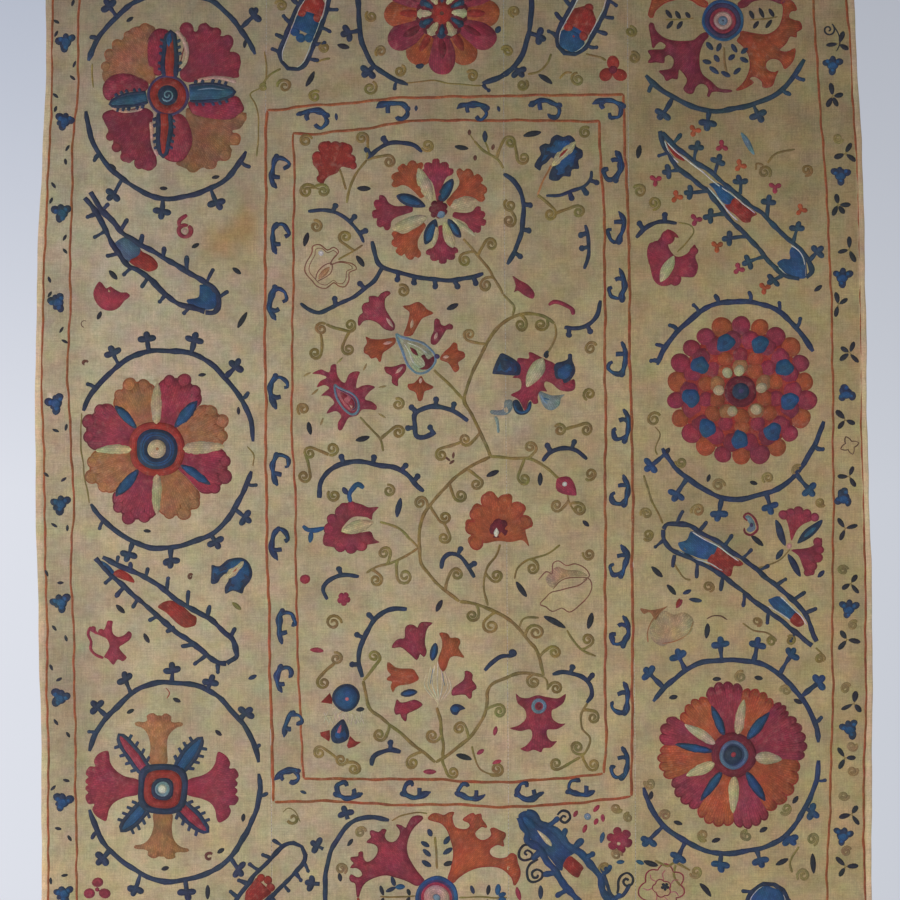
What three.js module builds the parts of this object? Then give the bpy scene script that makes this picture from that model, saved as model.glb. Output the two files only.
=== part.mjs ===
// Suzani: an embroidered cotton hanging, sewn together from four narrow
// hand-loomed lengths and hung flat from its top edge.
//
// Millimetres, +Z up. The origin is the middle of the top edge, on the back
// of the cloth. The embroidered front faces -Y, and the back faces +Y.

import * as THREE from 'three';

// ---- driving dimensions -------------------------------------------------
const HEIGHT = 1966;        // length of the cloth, top hem to bottom hem
const THICK = 1.6;          // cotton ground with its embroidery
const SEAM_GAP = 0.3;       // clearance between neighbouring lengths
const HEADING = 60;         // flat strip along the top, which is what is held
const EASE = 140;           // the cloth eases from the heading into its folds
const ROWS = 28;            // divisions down the cloth

// ---- outline ------------------------------------------------------------
// Half widths left and right of the origin at each level down the cloth.
// drop: distance below the top edge, left / right: edges of the cloth.
const OUTLINE = [
  { drop: 0,    left: -696, right: 680 },
  { drop: 215,  left: -697, right: 686 },
  { drop: 375,  left: -697, right: 693 },
  { drop: 455,  left: -701, right: 699 },
  { drop: 530,  left: -704, right: 701 },
  { drop: 610,  left: -709, right: 703 },
  { drop: 760,  left: -712, right: 706 },
  { drop: 915,  left: -714, right: 708 },
  { drop: 1070, left: -713, right: 712 },
  { drop: 1170, left: -711, right: 715 },
  { drop: 1300, left: -708, right: 716 },
  { drop: 1410, left: -704, right: 716 },
  { drop: 1530, left: -702, right: 715 },
  { drop: 1750, left: -702, right: 714 },
  { drop: 1966, left: -703, right: 713 },
];

// Seams between the four loom lengths, by the same levels.
const SEAMS = [
  { drop: 0,    first: -318, second: 86, third: 297 },
  { drop: 500,  first: -321, second: 87, third: 300 },
  { drop: 1000, first: -320, second: 91, third: 306 },
  { drop: 1500, first: -311, second: 94, third: 311 },
  { drop: 1966, first: -307, second: 96, third: 313 },
];

// ---- folds --------------------------------------------------------------
// Soft waves and storage creases of the hanging cloth. Each is a ridge that
// stands forward of the hanging plane along a line running down the cloth.
// x0 / x1: place of the line at its upper and lower end, z0 / z1: drops of
// those ends, high: height of the ridge, wide: its half width.
const FOLDS = [
  { name: 'left_edge_roll',    x0: -690, x1: -700, z0: 420,  z1: 1180, high: 7.0, wide: 60 },
  { name: 'left_edge_lower',   x0: -700, x1: -676, z0: 1300, z1: 2050, high: 9.0, wide: 70 },
  { name: 'lower_left_wave_a', x0: -500, x1: -482, z0: 1330, z1: 2100, high: 8.0, wide: 62 },
  { name: 'lower_left_wave_b', x0: -392, x1: -356, z0: 1260, z1: 2100, high: 9.5, wide: 66 },
  { name: 'left_belly',        x0: -560, x1: -520, z0: 520,  z1: 1180, high: 4.5, wide: 110 },
  { name: 'seam_left',         x0: -319, x1: -309, z0: 120,  z1: 2100, high: 3.0, wide: 46 },
  { name: 'centre_crease',     x0: -80,  x1: -72,  z0: 860,  z1: 1330, high: 3.5, wide: 52 },
  { name: 'centre_wave',       x0: -196, x1: -150, z0: 1180, z1: 2100, high: 6.0, wide: 95 },
  { name: 'seam_middle',       x0: 88,   x1: 95,   z0: 160,  z1: 2100, high: 3.0, wide: 46 },
  { name: 'middle_wave',       x0: 70,   x1: 110,  z0: 1400, z1: 2150, high: 6.0, wide: 90 },
  { name: 'seam_right',        x0: 299,  x1: 311,  z0: 120,  z1: 2100, high: 3.5, wide: 50 },
  { name: 'right_wave',        x0: 470,  x1: 520,  z0: 980,  z1: 2150, high: 7.0, wide: 92 },
  { name: 'right_edge_upper',  x0: 660,  x1: 704,  z0: 200,  z1: 860,  high: 6.5, wide: 66 },
  { name: 'right_edge_lower',  x0: 700,  x1: 706,  z0: 1180, z1: 2100, high: 8.0, wide: 72 },
];

// The lower part of the cloth hangs a little clear of the plane it hangs in.
const STAND_OFF = { top: 0, bottom: 5 };

// ---- the four loom lengths ---------------------------------------------
// from / to: names of the lines that bound each length, cols: divisions
// across it.
const LENGTHS = [
  { node: 'panel_left',         from: 'left',   to: 'first',  cols: 11, colour: 0xb9a583 },
  { node: 'panel_centre_left',  from: 'first',  to: 'second', cols: 12, colour: 0xbaa685 },
  { node: 'panel_centre_right', from: 'second', to: 'third',  cols: 7,  colour: 0xb8a482 },
  { node: 'panel_right',        from: 'third',  to: 'right',  cols: 11, colour: 0xb49f7c },
];

// ---- helpers ------------------------------------------------------------
const clamp01 = (t) => Math.min(1, Math.max(0, t));
const smooth = (t) => { const u = clamp01(t); return u * u * (3 - 2 * u); };

// Value of one named column of a table at a level, with soft steps between
// its rows.
function column(table, name, drop) {
  for (let i = 1; i < table.length; i += 1) {
    const a = table[i - 1];
    const b = table[i];
    if (drop <= b.drop) {
      const t = clamp01((drop - a.drop) / (b.drop - a.drop));
      return a[name] + (b[name] - a[name]) * t;
    }
  }
  return table[table.length - 1][name];
}

function boundary(name, drop) {
  const table = (name === 'left' || name === 'right') ? OUTLINE : SEAMS;
  return column(table, name, drop);
}

// How far the cloth stands forward of the hanging plane.
function forward(x, drop) {
  const below = smooth((drop - HEADING) / EASE);
  let f = STAND_OFF.top + (STAND_OFF.bottom - STAND_OFF.top) * smooth(drop / HEIGHT);
  for (const fold of FOLDS) {
    const t = clamp01((drop - fold.z0) / (fold.z1 - fold.z0));
    const line = fold.x0 + (fold.x1 - fold.x0) * t;
    const across = Math.abs(x - line) / (2 * fold.wide);
    const ridge = across < 1 ? 0.5 + 0.5 * Math.cos(Math.PI * across) : 0;
    const fade = smooth((drop - fold.z0 + 120) / 240) * smooth((fold.z1 + 120 - drop) / 240);
    f += fold.high * ridge * ridge * fade;
  }
  return f * below;
}

// Levels of the rows: the heading has its own row, and the rest are even.
const levels = [0, HEADING / 2, HEADING];
for (let r = 1; r <= ROWS; r += 1) levels.push(HEADING + (HEIGHT - HEADING) * r / ROWS);

// One closed sheet between two boundary lines, its back at +Y and its front
// at -Y. Its surface is shared by neighbours, so their seam edges match.
function sheet(spec) {
  const n = spec.cols;
  const rows = levels.length;
  const front = [];
  const back = [];
  for (const drop of levels) {
    const xa = boundary(spec.from, drop) + (spec.from === 'left' ? 0 : SEAM_GAP / 2);
    const xb = boundary(spec.to, drop) - (spec.to === 'right' ? 0 : SEAM_GAP / 2);
    for (let c = 0; c <= n; c += 1) {
      const x = xa + (xb - xa) * c / n;
      const f = forward(x, drop);
      back.push([x, -f, -drop]);
      front.push([x, -f - THICK, -drop]);
    }
  }
  const vertices = front.concat(back);
  const B = front.length;
  const id = (r, c) => r * (n + 1) + c;
  const index = [];
  const quad = (a, b, c, d) => index.push(a, b, c, a, c, d);
  for (let r = 0; r + 1 < rows; r += 1) {
    for (let c = 0; c < n; c += 1) {
      quad(id(r, c), id(r + 1, c), id(r + 1, c + 1), id(r, c + 1));
      quad(B + id(r, c), B + id(r, c + 1), B + id(r + 1, c + 1), B + id(r + 1, c));
    }
    quad(id(r, 0), B + id(r, 0), B + id(r + 1, 0), id(r + 1, 0));
    quad(id(r, n), id(r + 1, n), B + id(r + 1, n), B + id(r, n));
  }
  const last = rows - 1;
  for (let c = 0; c < n; c += 1) {
    quad(id(0, c), id(0, c + 1), B + id(0, c + 1), B + id(0, c));
    quad(id(last, c), B + id(last, c), B + id(last, c + 1), id(last, c + 1));
  }
  const geometry = new THREE.BufferGeometry();
  geometry.setAttribute('position', new THREE.Float32BufferAttribute(vertices.flat(), 3));
  geometry.setIndex(index);
  geometry.computeVertexNormals();
  return geometry;
}

// ---- the hanging --------------------------------------------------------
const hanging = new THREE.Group();
hanging.name = 'suzani_hanging';
for (const spec of LENGTHS) {
  const material = new THREE.MeshStandardMaterial({
    color: spec.colour, roughness: 0.92, metalness: 0,
  });
  const mesh = new THREE.Mesh(sheet(spec), material);
  mesh.name = spec.node;
  hanging.add(mesh);
}

export default hanging;
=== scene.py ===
# Suzani: an embroidered cotton hanging, four loom lengths joined and hung flat.
# Metres, +Z up, the embroidered front faces -Y. The pattern is laid out in
# design units (1 unit = 1.71 mm) from the upper left of the cloth, y downwards.
import math

import bpy
import numpy as np
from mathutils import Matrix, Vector
from mathutils.geometry import delaunay_2d_cdt


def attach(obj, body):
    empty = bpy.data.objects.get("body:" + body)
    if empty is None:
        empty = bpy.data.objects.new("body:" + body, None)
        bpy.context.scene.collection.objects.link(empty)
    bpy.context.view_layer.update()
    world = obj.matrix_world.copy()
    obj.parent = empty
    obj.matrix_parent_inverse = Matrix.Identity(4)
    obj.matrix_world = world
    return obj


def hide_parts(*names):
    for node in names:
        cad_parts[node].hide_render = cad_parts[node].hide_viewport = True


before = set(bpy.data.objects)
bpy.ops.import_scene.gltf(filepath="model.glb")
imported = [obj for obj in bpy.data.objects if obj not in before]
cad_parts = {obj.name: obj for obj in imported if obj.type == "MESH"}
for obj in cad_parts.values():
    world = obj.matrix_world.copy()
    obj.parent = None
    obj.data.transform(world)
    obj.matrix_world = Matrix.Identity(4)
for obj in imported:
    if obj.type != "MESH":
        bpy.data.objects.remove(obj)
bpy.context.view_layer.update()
RNG = np.random.default_rng(1923)

# ---------------------------------------------------------------- the cloth
UNIT = 0.00171          # metres to one design unit
MIDX, TOPY = 453.0, -125.0
HEIGHT = 1966.0         # mm
THICK = 1.6
HEADING, EASE = 60.0, 140.0

OUTLINE = np.array([    # drop, left, right (mm)
    (0, -696, 680), (215, -697, 686), (375, -697, 693), (455, -701, 699),
    (530, -704, 701), (610, -709, 703), (760, -712, 706), (915, -714, 708),
    (1070, -713, 712), (1170, -711, 715), (1300, -708, 716), (1410, -704, 716),
    (1530, -702, 715), (1750, -702, 714), (1966, -703, 713)], float)
SEAMS = np.array([      # drop, first, second, third (mm)
    (0, -318, 86, 297), (500, -321, 87, 300), (1000, -320, 91, 306),
    (1500, -311, 94, 311), (1966, -307, 96, 313)], float)
FOLDS = np.array([      # x0, x1, z0, z1, high, wide (mm)
    (-690, -700, 420, 1180, 7.0, 60), (-700, -676, 1300, 2050, 9.0, 70),
    (-500, -482, 1330, 2100, 8.0, 62), (-392, -356, 1260, 2100, 9.5, 66),
    (-560, -520, 520, 1180, 4.5, 110), (-319, -309, 120, 2100, 3.0, 46),
    (-80, -72, 860, 1330, 3.5, 52), (-196, -150, 1180, 2100, 6.0, 95),
    (88, 95, 160, 2100, 3.0, 46), (70, 110, 1400, 2150, 6.0, 90),
    (299, 311, 120, 2100, 3.5, 50), (470, 520, 980, 2150, 7.0, 92),
    (660, 704, 200, 860, 6.5, 66), (700, 706, 1180, 2100, 8.0, 72)], float)


def smooth(t):
    t = np.clip(t, 0.0, 1.0)
    return t * t * (3 - 2 * t)


def seam_x(drop):
    return [np.interp(drop, SEAMS[:, 0], SEAMS[:, k]) for k in (1, 2, 3)]


def forward(x, drop):
    """How far the cloth stands forward of its hanging plane, in mm."""
    below = smooth((drop - HEADING) / EASE)
    f = 5.0 * smooth(drop / HEIGHT)
    for x0, x1, z0, z1, high, wide in FOLDS:
        t = np.clip((drop - z0) / (z1 - z0), 0, 1)
        across = np.abs(x - (x0 + (x1 - x0) * t)) / (2 * wide)
        ridge = np.where(across < 1, 0.5 + 0.5 * np.cos(np.pi * across), 0.0)
        fade = smooth((drop - z0 + 120) / 240) * smooth((z1 + 120 - drop) / 240)
        f = f + high * ridge * ridge * fade
    return f * below


# slow puckers drawn up by the stitching: wave length (mm), heading (deg), height (mm)
PUCKERS = [(61, 12, .24), (74, 97, .26), (93, 151, .30), (118, 63, .34),
           (147, 8, .42), (171, 118, .38), (228, 84, .55), (310, 20, .6)]


def relief(x, drop):
    f = forward(x, drop)
    p = 0.0
    for k, (wave, head, high) in enumerate(PUCKERS):
        a = math.radians(head)
        s = (x * math.cos(a) + drop * math.sin(a)) / wave
        w = (x * math.sin(a) - drop * math.cos(a)) / (wave * 2.7)
        p = p + high * np.sin(2 * np.pi * s + 1.7 * k + 1.3 * np.sin(2 * np.pi * w + k))
    # storage creases: a sharp upright one in the centre and a level one
    up = np.exp(-((x + 78) / 4.5) ** 2) * smooth((drop - 900) / 90) * smooth((1290 - drop) / 90)
    level = np.exp(-((drop - 913) / 5.0) ** 2) * smooth((x + 40) / 120) * smooth((300 - x) / 140)
    return f + p * smooth(drop / 120) * 0.9 + 1.1 * up + 0.7 * level + seam_ridge(x, drop) * smooth(drop / 12) * smooth((HEIGHT - drop) / 12)


def units_to_mm(P):
    return (P[:, 0] - MIDX) * UNIT * 1000, (P[:, 1] - TOPY) * UNIT * 1000


def seam_ridge(x, drop):
    r = 0.0
    for s in seam_x(drop):
        d = np.abs(x - s)
        r = r + 0.55 * np.exp(-(d / 2.6) ** 2) - 0.25 * np.exp(-((d - 6.5) / 2.6) ** 2)
    return r


def new_mesh(name, verts, faces):
    me = bpy.data.meshes.new(name)
    me.from_pydata(verts, [], faces)
    me.update()
    return me


def add_object(me):
    ob = bpy.data.objects.new(me.name, me)
    bpy.context.scene.collection.objects.link(ob)
    return ob


def wander(P):
    """The unsteady hand of the drawing under the stitches, in design units."""
    x, y = P[:, 0], P[:, 1]
    dx = 0.34 * np.sin(y / 4.1 + 1.9 * np.sin(x / 11.3)) + 0.30 * np.sin((x + y) / 6.7 + 2.0) + 0.45 * np.sin(y / 17.0 + x / 29.0)
    dy = 0.34 * np.sin(x / 4.4 + 2.1 * np.sin(y / 12.7)) + 0.30 * np.sin((x - y) / 7.3 + 0.7) + 0.45 * np.sin(x / 19.0 - y / 31.0)
    return np.column_stack([dx, dy]) * 0.8


# -------------------------------------------------------------- the stitching
# A patch of silk is a closed body that passes through the cloth: its rim lies
# in the cloth, its front stands a little proud and its back hardly at all.
class Silk:
    def __init__(self, name):
        self.name = name
        self.P, self.rim, self.h, self.tint = [], [], [], []
        self.quads, self.quv, self.tris, self.tuv = [], [], [], []
        self.n = 0

    def add(self, P, rim, h, tint, quads=None, quv=None, tris=None, tuv=None):
        P = np.asarray(P, float)
        area = 0.0
        if quads is not None and len(quads):
            a, b, c, d = (P[quads[:, k]] for k in range(4))
            area += (((c - a)[:, 0] * (d - b)[:, 1] - (c - a)[:, 1] * (d - b)[:, 0])).sum()
        if tris is not None and len(tris):
            a, b, c = (P[tris[:, k]] for k in range(3))
            area += (((b - a)[:, 0] * (c - a)[:, 1] - (b - a)[:, 1] * (c - a)[:, 0])).sum()
        flip = area > 0          # y runs down, so a positive area is clockwise from the front
        if quads is not None and len(quads):
            if flip:
                quads, quv = quads[:, ::-1], quv[:, ::-1]
            self.quads.append(quads + self.n)
            self.quv.append(quv)
        if tris is not None and len(tris):
            if flip:
                tris, tuv = tris[:, ::-1], tuv[:, ::-1]
            self.tris.append(tris + self.n)
            self.tuv.append(tuv)
        n = len(P)
        self.P.append(P)
        self.rim.append(np.asarray(rim, bool))
        self.h.append(np.broadcast_to(np.asarray(h, float), (n,)))
        self.tint.append(np.broadcast_to(np.asarray(tint, float), (n, 3)))
        self.n += n

    def build(self):
        P = np.concatenate(self.P)
        rim = np.concatenate(self.rim)
        h = np.concatenate(self.h)
        tint = np.concatenate(self.tint)
        quads = np.concatenate(self.quads) if self.quads else np.zeros((0, 4), int)
        quv = np.concatenate(self.quv) if self.quv else np.zeros((0, 4, 2))
        tris = np.concatenate(self.tris) if self.tris else np.zeros((0, 3), int)
        tuv = np.concatenate(self.tuv) if self.tuv else np.zeros((0, 3, 2))
        P = P + wander(P)
        tint = tint * (1 + 0.05 * np.sin(P[:, :1] / 2.3 + 1.7 * np.sin(P[:, 1:] / 3.1)) + 0.04 * np.sin(P[:, 1:] / 1.7 + P[:, :1] / 5.3))
        x, drop = units_to_mm(P)
        f = relief(x, drop)
        front = -f - THICK
        y = np.where(rim, front + THICK * 0.5, front - h)
        back_of = np.arange(len(P))
        inner = np.flatnonzero(~rim)
        back_of[inner] = len(P) + np.arange(len(inner))
        yb = (-f[inner]) + 0.22 + 0.28 * h[inner]
        X = np.concatenate([x, x[inner]]) / 1000
        Z = -np.concatenate([drop, drop[inner]]) / 1000
        Y = np.concatenate([y, yb]) / 1000
        co = np.column_stack([X, Y, Z])
        bq, bt = back_of[quads][:, ::-1], back_of[tris][:, ::-1]
        faces_q = np.concatenate([quads, bq])
        faces_t = np.concatenate([tris, bt])
        uq = np.concatenate([quv, quv[:, ::-1]]).reshape(-1, 2)
        ut = np.concatenate([tuv, tuv[:, ::-1]]).reshape(-1, 2)
        me = bpy.data.meshes.new(self.name)
        nq, nt = len(faces_q), len(faces_t)
        me.vertices.add(len(co))
        me.vertices.foreach_set("co", co.astype(np.float32).ravel())
        loops = np.concatenate([faces_q.ravel(), faces_t.ravel()])
        me.loops.add(len(loops))
        me.loops.foreach_set("vertex_index", loops.astype(np.int32))
        starts = np.concatenate([np.arange(nq) * 4, nq * 4 + np.arange(nt) * 3])
        me.polygons.add(nq + nt)
        me.polygons.foreach_set("loop_start", starts.astype(np.int32))
        uv = me.uv_layers.new(name="stitch")
        uv.data.foreach_set("uv", np.concatenate([uq, ut]).astype(np.float32).ravel())
        # the map for finished surfaces lays the whole hanging out flat, front over back
        sheet = me.uv_layers.new(name="OFBake")
        lx = co[loops, 0]
        lz = co[loops, 2]
        side = np.concatenate([np.repeat([0, 1], [len(quads) * 4, len(quads) * 4]),
                               np.repeat([0, 1], [len(tris) * 3, len(tris) * 3])])
        u = (lx + 0.72) / 1.45 * 0.49 + 0.005 + 0.5 * side
        v = 1.0 + lz / 1.97 * 0.99 - 0.004
        sheet.data.foreach_set("uv", np.column_stack([u, v]).astype(np.float32).ravel())
        me.update(calc_edges=True)
        me.validate(verbose=False)
        col = me.color_attributes.new(name="tint", type='FLOAT_COLOR', domain='POINT')
        t = np.concatenate([tint, tint[inner] * np.array([0.93, 0.93, 0.94])])
        col.data.foreach_set("color", np.column_stack([t, np.ones(len(t))]).astype(np.float32).ravel())
        me.polygons.foreach_set("use_smooth", np.ones(len(me.polygons), bool))
        return add_object(me)


def lin(rgb):
    c = np.asarray(rgb, float) / 255
    return np.where(c <= 0.04045, c / 12.92, ((c + 0.055) / 1.055) ** 2.4)


# thread colours, as dyed and faded (8-bit, before light falls on them)
DYES = {
    "crimson": (149, 54, 71), "crimson_deep": (134, 49, 66), "crimson_dark": (114, 38, 51), "crimson_pale": (184, 100, 110),
    "red": (154, 54, 46), "orange": (168, 84, 52), "ochre": (168, 114, 76), "ochre_deep": (152, 103, 72), "ochre_pale": (190, 140, 98),
    "faded": (190, 158, 122),
    "navy": (48, 60, 84), "indigo": (48, 64, 94), "slate": (50, 70, 90), "ink": (44, 46, 54), "blue": (44, 84, 126), "teal": (50, 90, 114),
    "grey_blue": (112, 136, 152), "haze": (134, 142, 142), "purple": (72, 62, 96),
    "steel": (82, 106, 132), "royal": (46, 74, 112), "mist": (174, 170, 146),
    "olive": (136, 117, 68), "olive_pale": (146, 127, 82), "rust": (154, 86, 53), "brown": (98, 62, 52), "drawn": (132, 86, 70),
    "cream": (188, 175, 136), "white": (200, 200, 196), "thread": (196, 184, 156), "seam": (170, 154, 122), "blush": (190, 152, 138),
}
FAMILY = {
    "crimson": "crimson", "crimson_deep": "crimson", "crimson_dark": "crimson", "crimson_pale": "crimson",
    "red": "orange", "orange": "orange", "ochre": "orange", "ochre_deep": "orange", "ochre_pale": "orange", "faded": "orange",
    "rust": "rust", "brown": "rust", "drawn": "rust",
    "navy": "navy", "indigo": "ink", "slate": "ink", "royal": "ink", "ink": "ink", "purple": "ink",
    "blue": "blue", "teal": "blue", "grey_blue": "blue", "steel": "blue", "haze": "blue",
    "olive": "olive", "olive_pale": "olive", "cream": "cream", "mist": "cream", "white": "cream", "thread": "cream", "seam": "cream", "blush": "cream",
}
SILKS = {f: Silk("embroidery_" + f) for f in ("crimson", "orange", "rust", "navy", "ink", "blue", "olive", "cream")}


def dye(name):
    c = lin(DYES[name])
    return c * (1 + RNG.normal(0, 0.05)) * (1 + RNG.normal(0, 0.02, 3))


INSET, GROW = 0.45, 0.2
LOFT_SWAP = []          # filled while stitches run across a loft, not along it


def along(P):
    d = np.hypot(*np.diff(P, axis=0).T)
    return np.concatenate([[0], np.cumsum(d)])


def curve(points, step=3.0, closed=False):
    """Points evenly spaced on a smooth line through a few given points."""
    Q = np.asarray(points, float)
    if len(Q) == 2 and not closed:
        n = max(2, int(math.ceil(np.hypot(*(Q[1] - Q[0])) / step)) + 1)
        t = np.linspace(0, 1, n)[:, None]
        return Q[0] * (1 - t) + Q[1] * t
    if closed:
        R = np.concatenate([Q[-1:], Q, Q[:2]])
    else:
        R = np.concatenate([2 * Q[:1] - Q[1:2], Q, 2 * Q[-1:] - Q[-2:-1]])
    out = []
    for i in range(len(R) - 3):
        p0, p1, p2, p3 = R[i:i + 4]
        n = max(2, int(math.ceil(np.hypot(*(p2 - p1)) / step)))
        t = (np.arange(n) / n)[:, None]
        out.append(0.5 * ((2 * p1) + (p2 - p0) * t + (2 * p0 - 5 * p1 + 4 * p2 - p3) * t ** 2
                          + (3 * p1 - p0 - 3 * p2 + p3) * t ** 3))
    if not closed:
        out.append(R[-2:-1])
    return np.concatenate(out)


def normals(P, closed=False):
    if closed:
        T = np.roll(P, -1, 0) - np.roll(P, 1, 0)
    else:
        T = np.gradient(P, axis=0)
    T = T / np.maximum(np.hypot(T[:, 0], T[:, 1]), 1e-9)[:, None]
    return np.column_stack([T[:, 1], -T[:, 0]])


def pol(c, r, deg):
    a = np.radians(deg)
    return np.column_stack([c[0] + np.asarray(r) * np.cos(a), c[1] - np.asarray(r) * np.sin(a)])


def one(c, r, deg):
    a = math.radians(deg)
    return (c[0] + r * math.cos(a), c[1] - r * math.sin(a))


def loft(name, A, B, lift=0.0, closed=False, across=0, crown=0.55, flat=False):
    """Silk laid between two edges that have the same number of points."""
    A, B = np.asarray(A, float), np.asarray(B, float)
    if not closed:
        def ends(M):
            d0 = max(np.hypot(*(M[1] - M[0])), 1e-6)
            d1 = max(np.hypot(*(M[-1] - M[-2])), 1e-6)
            f0, f1 = min(0.5, INSET / d0), min(0.5, INSET / d1)
            return np.concatenate([M[:1], M[:1] * (1 - f0) + M[1:2] * f0, M[1:-1],
                                   M[-1:] * (1 - f1) + M[-2:-1] * f1, M[-1:]])
        A, B = ends(A), ends(B)
    n = len(A)
    W = np.hypot(*(B - A).T)
    D = (B - A) / np.maximum(W, 1e-6)[:, None]
    A, B = A - D * GROW, B + D * GROW
    W = W + 2 * GROW
    if not across:
        across = int(max(0, min(6, round(np.median(W) / 9.0))))
    ins = np.minimum(INSET, W * 0.3)
    cols = [np.zeros(n), ins]
    for k in range(across):
        cols.append(ins + (W - 2 * ins) * (k + 1) / (across + 1))
    cols += [W - ins, W]
    S = np.stack(cols, 1)
    m = S.shape[1]
    P = A[:, None, :] + D[:, None, :] * S[:, :, None]
    rim = np.zeros((n, m), bool)
    rim[:, 0] = rim[:, -1] = True
    if not closed:
        rim[0] = rim[-1] = True
    # the crown swells where the patch is broad
    edge = np.minimum(S, W[:, None] - S)
    H = 0.34 + crown * smooth(edge / 3.2) + 0 * S
    H = np.where(W[:, None] < 1.6, 0.3, H) + lift
    mid = (A + B) / 2
    L = along(np.concatenate([mid, mid[:1]]) if closed else mid)
    i = np.arange(n if closed else n - 1)
    j = np.arange(m - 1)
    I, J = np.meshgrid(i, j, indexing="ij")
    I2 = (I + 1) % n
    idx = lambda a, b: a * m + b
    quads = np.stack([idx(I, J), idx(I2, J), idx(I2, J + 1), idx(I, J + 1)], -1).reshape(-1, 4)
    Sc = S - W[:, None] / 2
    uv = np.stack([
        np.stack([L[I], Sc[I, J]], -1), np.stack([L[I + 1], Sc[I2, J]], -1),
        np.stack([L[I + 1], Sc[I2, J + 1]], -1), np.stack([L[I], Sc[I, J + 1]], -1)], -2).reshape(-1, 4, 2)
    if LOFT_SWAP:
        uv = uv[:, :, ::-1]
    # painted shade: the silk is darkened along its edges, a painted shadow line where it meets the cloth
    painted_rim_shade = np.where((edge < 0.7) & (across > 0) & (W[:, None] > 4.2), 0.78, 1.0)
    SILKS[FAMILY[name]].add(P.reshape(-1, 2), rim.ravel(), H.ravel(), dye(name) * painted_rim_shade.reshape(-1, 1), quads, uv * UNIT)


def line(name, points, w=2.4, lift=0.0, step=3.0, taper=(0.6, 0.6), closed=False, raw=False, wobble=0.05):
    P = np.asarray(points, float) if raw else curve(points, step, closed)
    n = len(P)
    s = along(P)
    s = s / max(s[-1], 1e-6)
    h = np.full(n, w / 2)
    if not closed:
        L = max(along(P)[-1], 1e-6)
        e = min(0.45, (w * 0.8) / L)
        h = h * (taper[0] + (1 - taper[0]) * smooth(s / e)) * (taper[1] + (1 - taper[1]) * smooth((1 - s) / e))
    if wobble:
        ph = RNG.uniform(0, 6.28, 3)
        q = along(P)
        h = h * (1 + wobble * (np.sin(q / 3.1 + ph[0]) + np.sin(q / 7.3 + ph[1]) + np.sin(q / 1.9 + ph[2])))
    N = normals(P, closed)
    loft(name, P + N * h[:, None], P - N * h[:, None], lift, closed, across=0 if w > 6 else (1 if w > 3.2 else 0), crown=0.4)
    return P


def petal(name, base, tip, w, lift=0.0, power=0.8, skew=0.5, bend=0.0, steps=0):
    """A lens of silk from base to tip, widest at skew of its length."""
    a, b = np.asarray(base, float), np.asarray(tip, float)
    L = np.hypot(*(b - a))
    n = steps or int(max(7, min(18, L / 2.2)))
    s = 0.5 - 0.5 * np.cos(np.linspace(0, math.pi, n))
    d = (b - a) / max(L, 1e-6)
    nrm = np.array([d[1], -d[0]])
    P = a + (b - a) * s[:, None] + nrm * (bend * 4 * s * (1 - s))[:, None]
    q = np.where(s < skew, s / skew / 2, 0.5 + (s - skew) / (1 - skew) / 2)
    h = w / 2 * np.maximum(np.sin(np.pi * q), 0) ** power
    h = np.maximum(h, 0.12)
    N = normals(P)
    loft(name, P + N * h[:, None], P - N * h[:, None], lift, across=1 if w > 4 else 0)


def disc(name, c, r, lift=0.0, n=0, squash=1.0, turn=0.0, shape=None, crown=0.55):
    """A round or lobed patch worked round and round from its edge."""
    c = np.asarray(c, float)
    if shape is None:
        n = n or int(max(8, min(40, r * 2.2)))
        a = np.linspace(0, 2 * math.pi, n, endpoint=False)
        R = np.full(n, float(r))
    else:
        a, R = shape
        n = len(a)
    ct, st = math.cos(math.radians(turn)), math.sin(math.radians(turn))
    ux, uy = np.cos(a), np.sin(a) * squash
    E = np.column_stack([ux * ct - uy * st, -(ux * st + uy * ct)]) * R[:, None]
    Rm = np.hypot(E[:, 0], E[:, 1])
    unit = E / np.maximum(Rm, 1e-6)[:, None]
    rings = [Rm + GROW, np.maximum(Rm - INSET, Rm * 0.6)]
    k = max(1, int(Rm.mean() / 8))
    for q in range(k, 0, -1):
        rings.append(rings[1] * q / (k + 1))
    S = np.stack(rings, 1)
    m = S.shape[1]
    P = c + unit[:, None, :] * S[:, :, None]
    P = np.concatenate([P.reshape(-1, 2), c[None]])
    rim = np.zeros((n, m), bool)
    rim[:, 0] = True
    rim = np.concatenate([rim.ravel(), [False]])
    edge = Rm[:, None] - S
    H = 0.34 + crown * smooth(edge / 3.0)
    H = np.concatenate([H.ravel(), [0.34 + crown * smooth(Rm.mean() / 3.0)]]) + lift
    i = np.arange(n)
    I, J = np.meshgrid(i, np.arange(m - 1), indexing="ij")
    I2 = (I + 1) % n
    quads = np.stack([I * m + J, I2 * m + J, I2 * m + J + 1, I * m + J + 1], -1).reshape(-1, 4)
    arc = 2 * math.pi * Rm.mean() / n
    uv = np.stack([np.stack([I * arc, S[I, J]], -1), np.stack([(I + 1) * arc, S[I2, J]], -1),
                   np.stack([(I + 1) * arc, S[I2, J + 1]], -1), np.stack([I * arc, S[I, J + 1]], -1)], -2).reshape(-1, 4, 2)
    i2 = (i + 1) % n
    tris = np.stack([i * m + m - 1, i2 * m + m - 1, np.full(n, n * m)], -1)
    tuv = np.stack([np.stack([i * arc, S[:, -1]], -1), np.stack([(i + 1) * arc, S[i2, -1]], -1),
                    np.stack([(i + .5) * arc, 0 * S[:, -1]], -1)], -2)
    # painted shade: the disc is darkened along its edge, a painted shadow line where it meets the cloth
    painted_rim_shade = np.concatenate([np.where(edge < 0.7, 0.78, 1.0).ravel(), [1.0]])
    SILKS[FAMILY[name]].add(P, rim, H, dye(name) * painted_rim_shade[:, None], quads, uv * UNIT, tris, tuv * UNIT)


def oval(c, rx, ry, deg, n=2.0):
    a = np.radians(deg)
    ca, sa = np.cos(a), np.sin(a)
    k = (np.abs(ca) ** n + np.abs(sa) ** n) ** (-1.0 / n)
    return np.column_stack([c[0] + rx * k * ca, c[1] - ry * k * sa])


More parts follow.
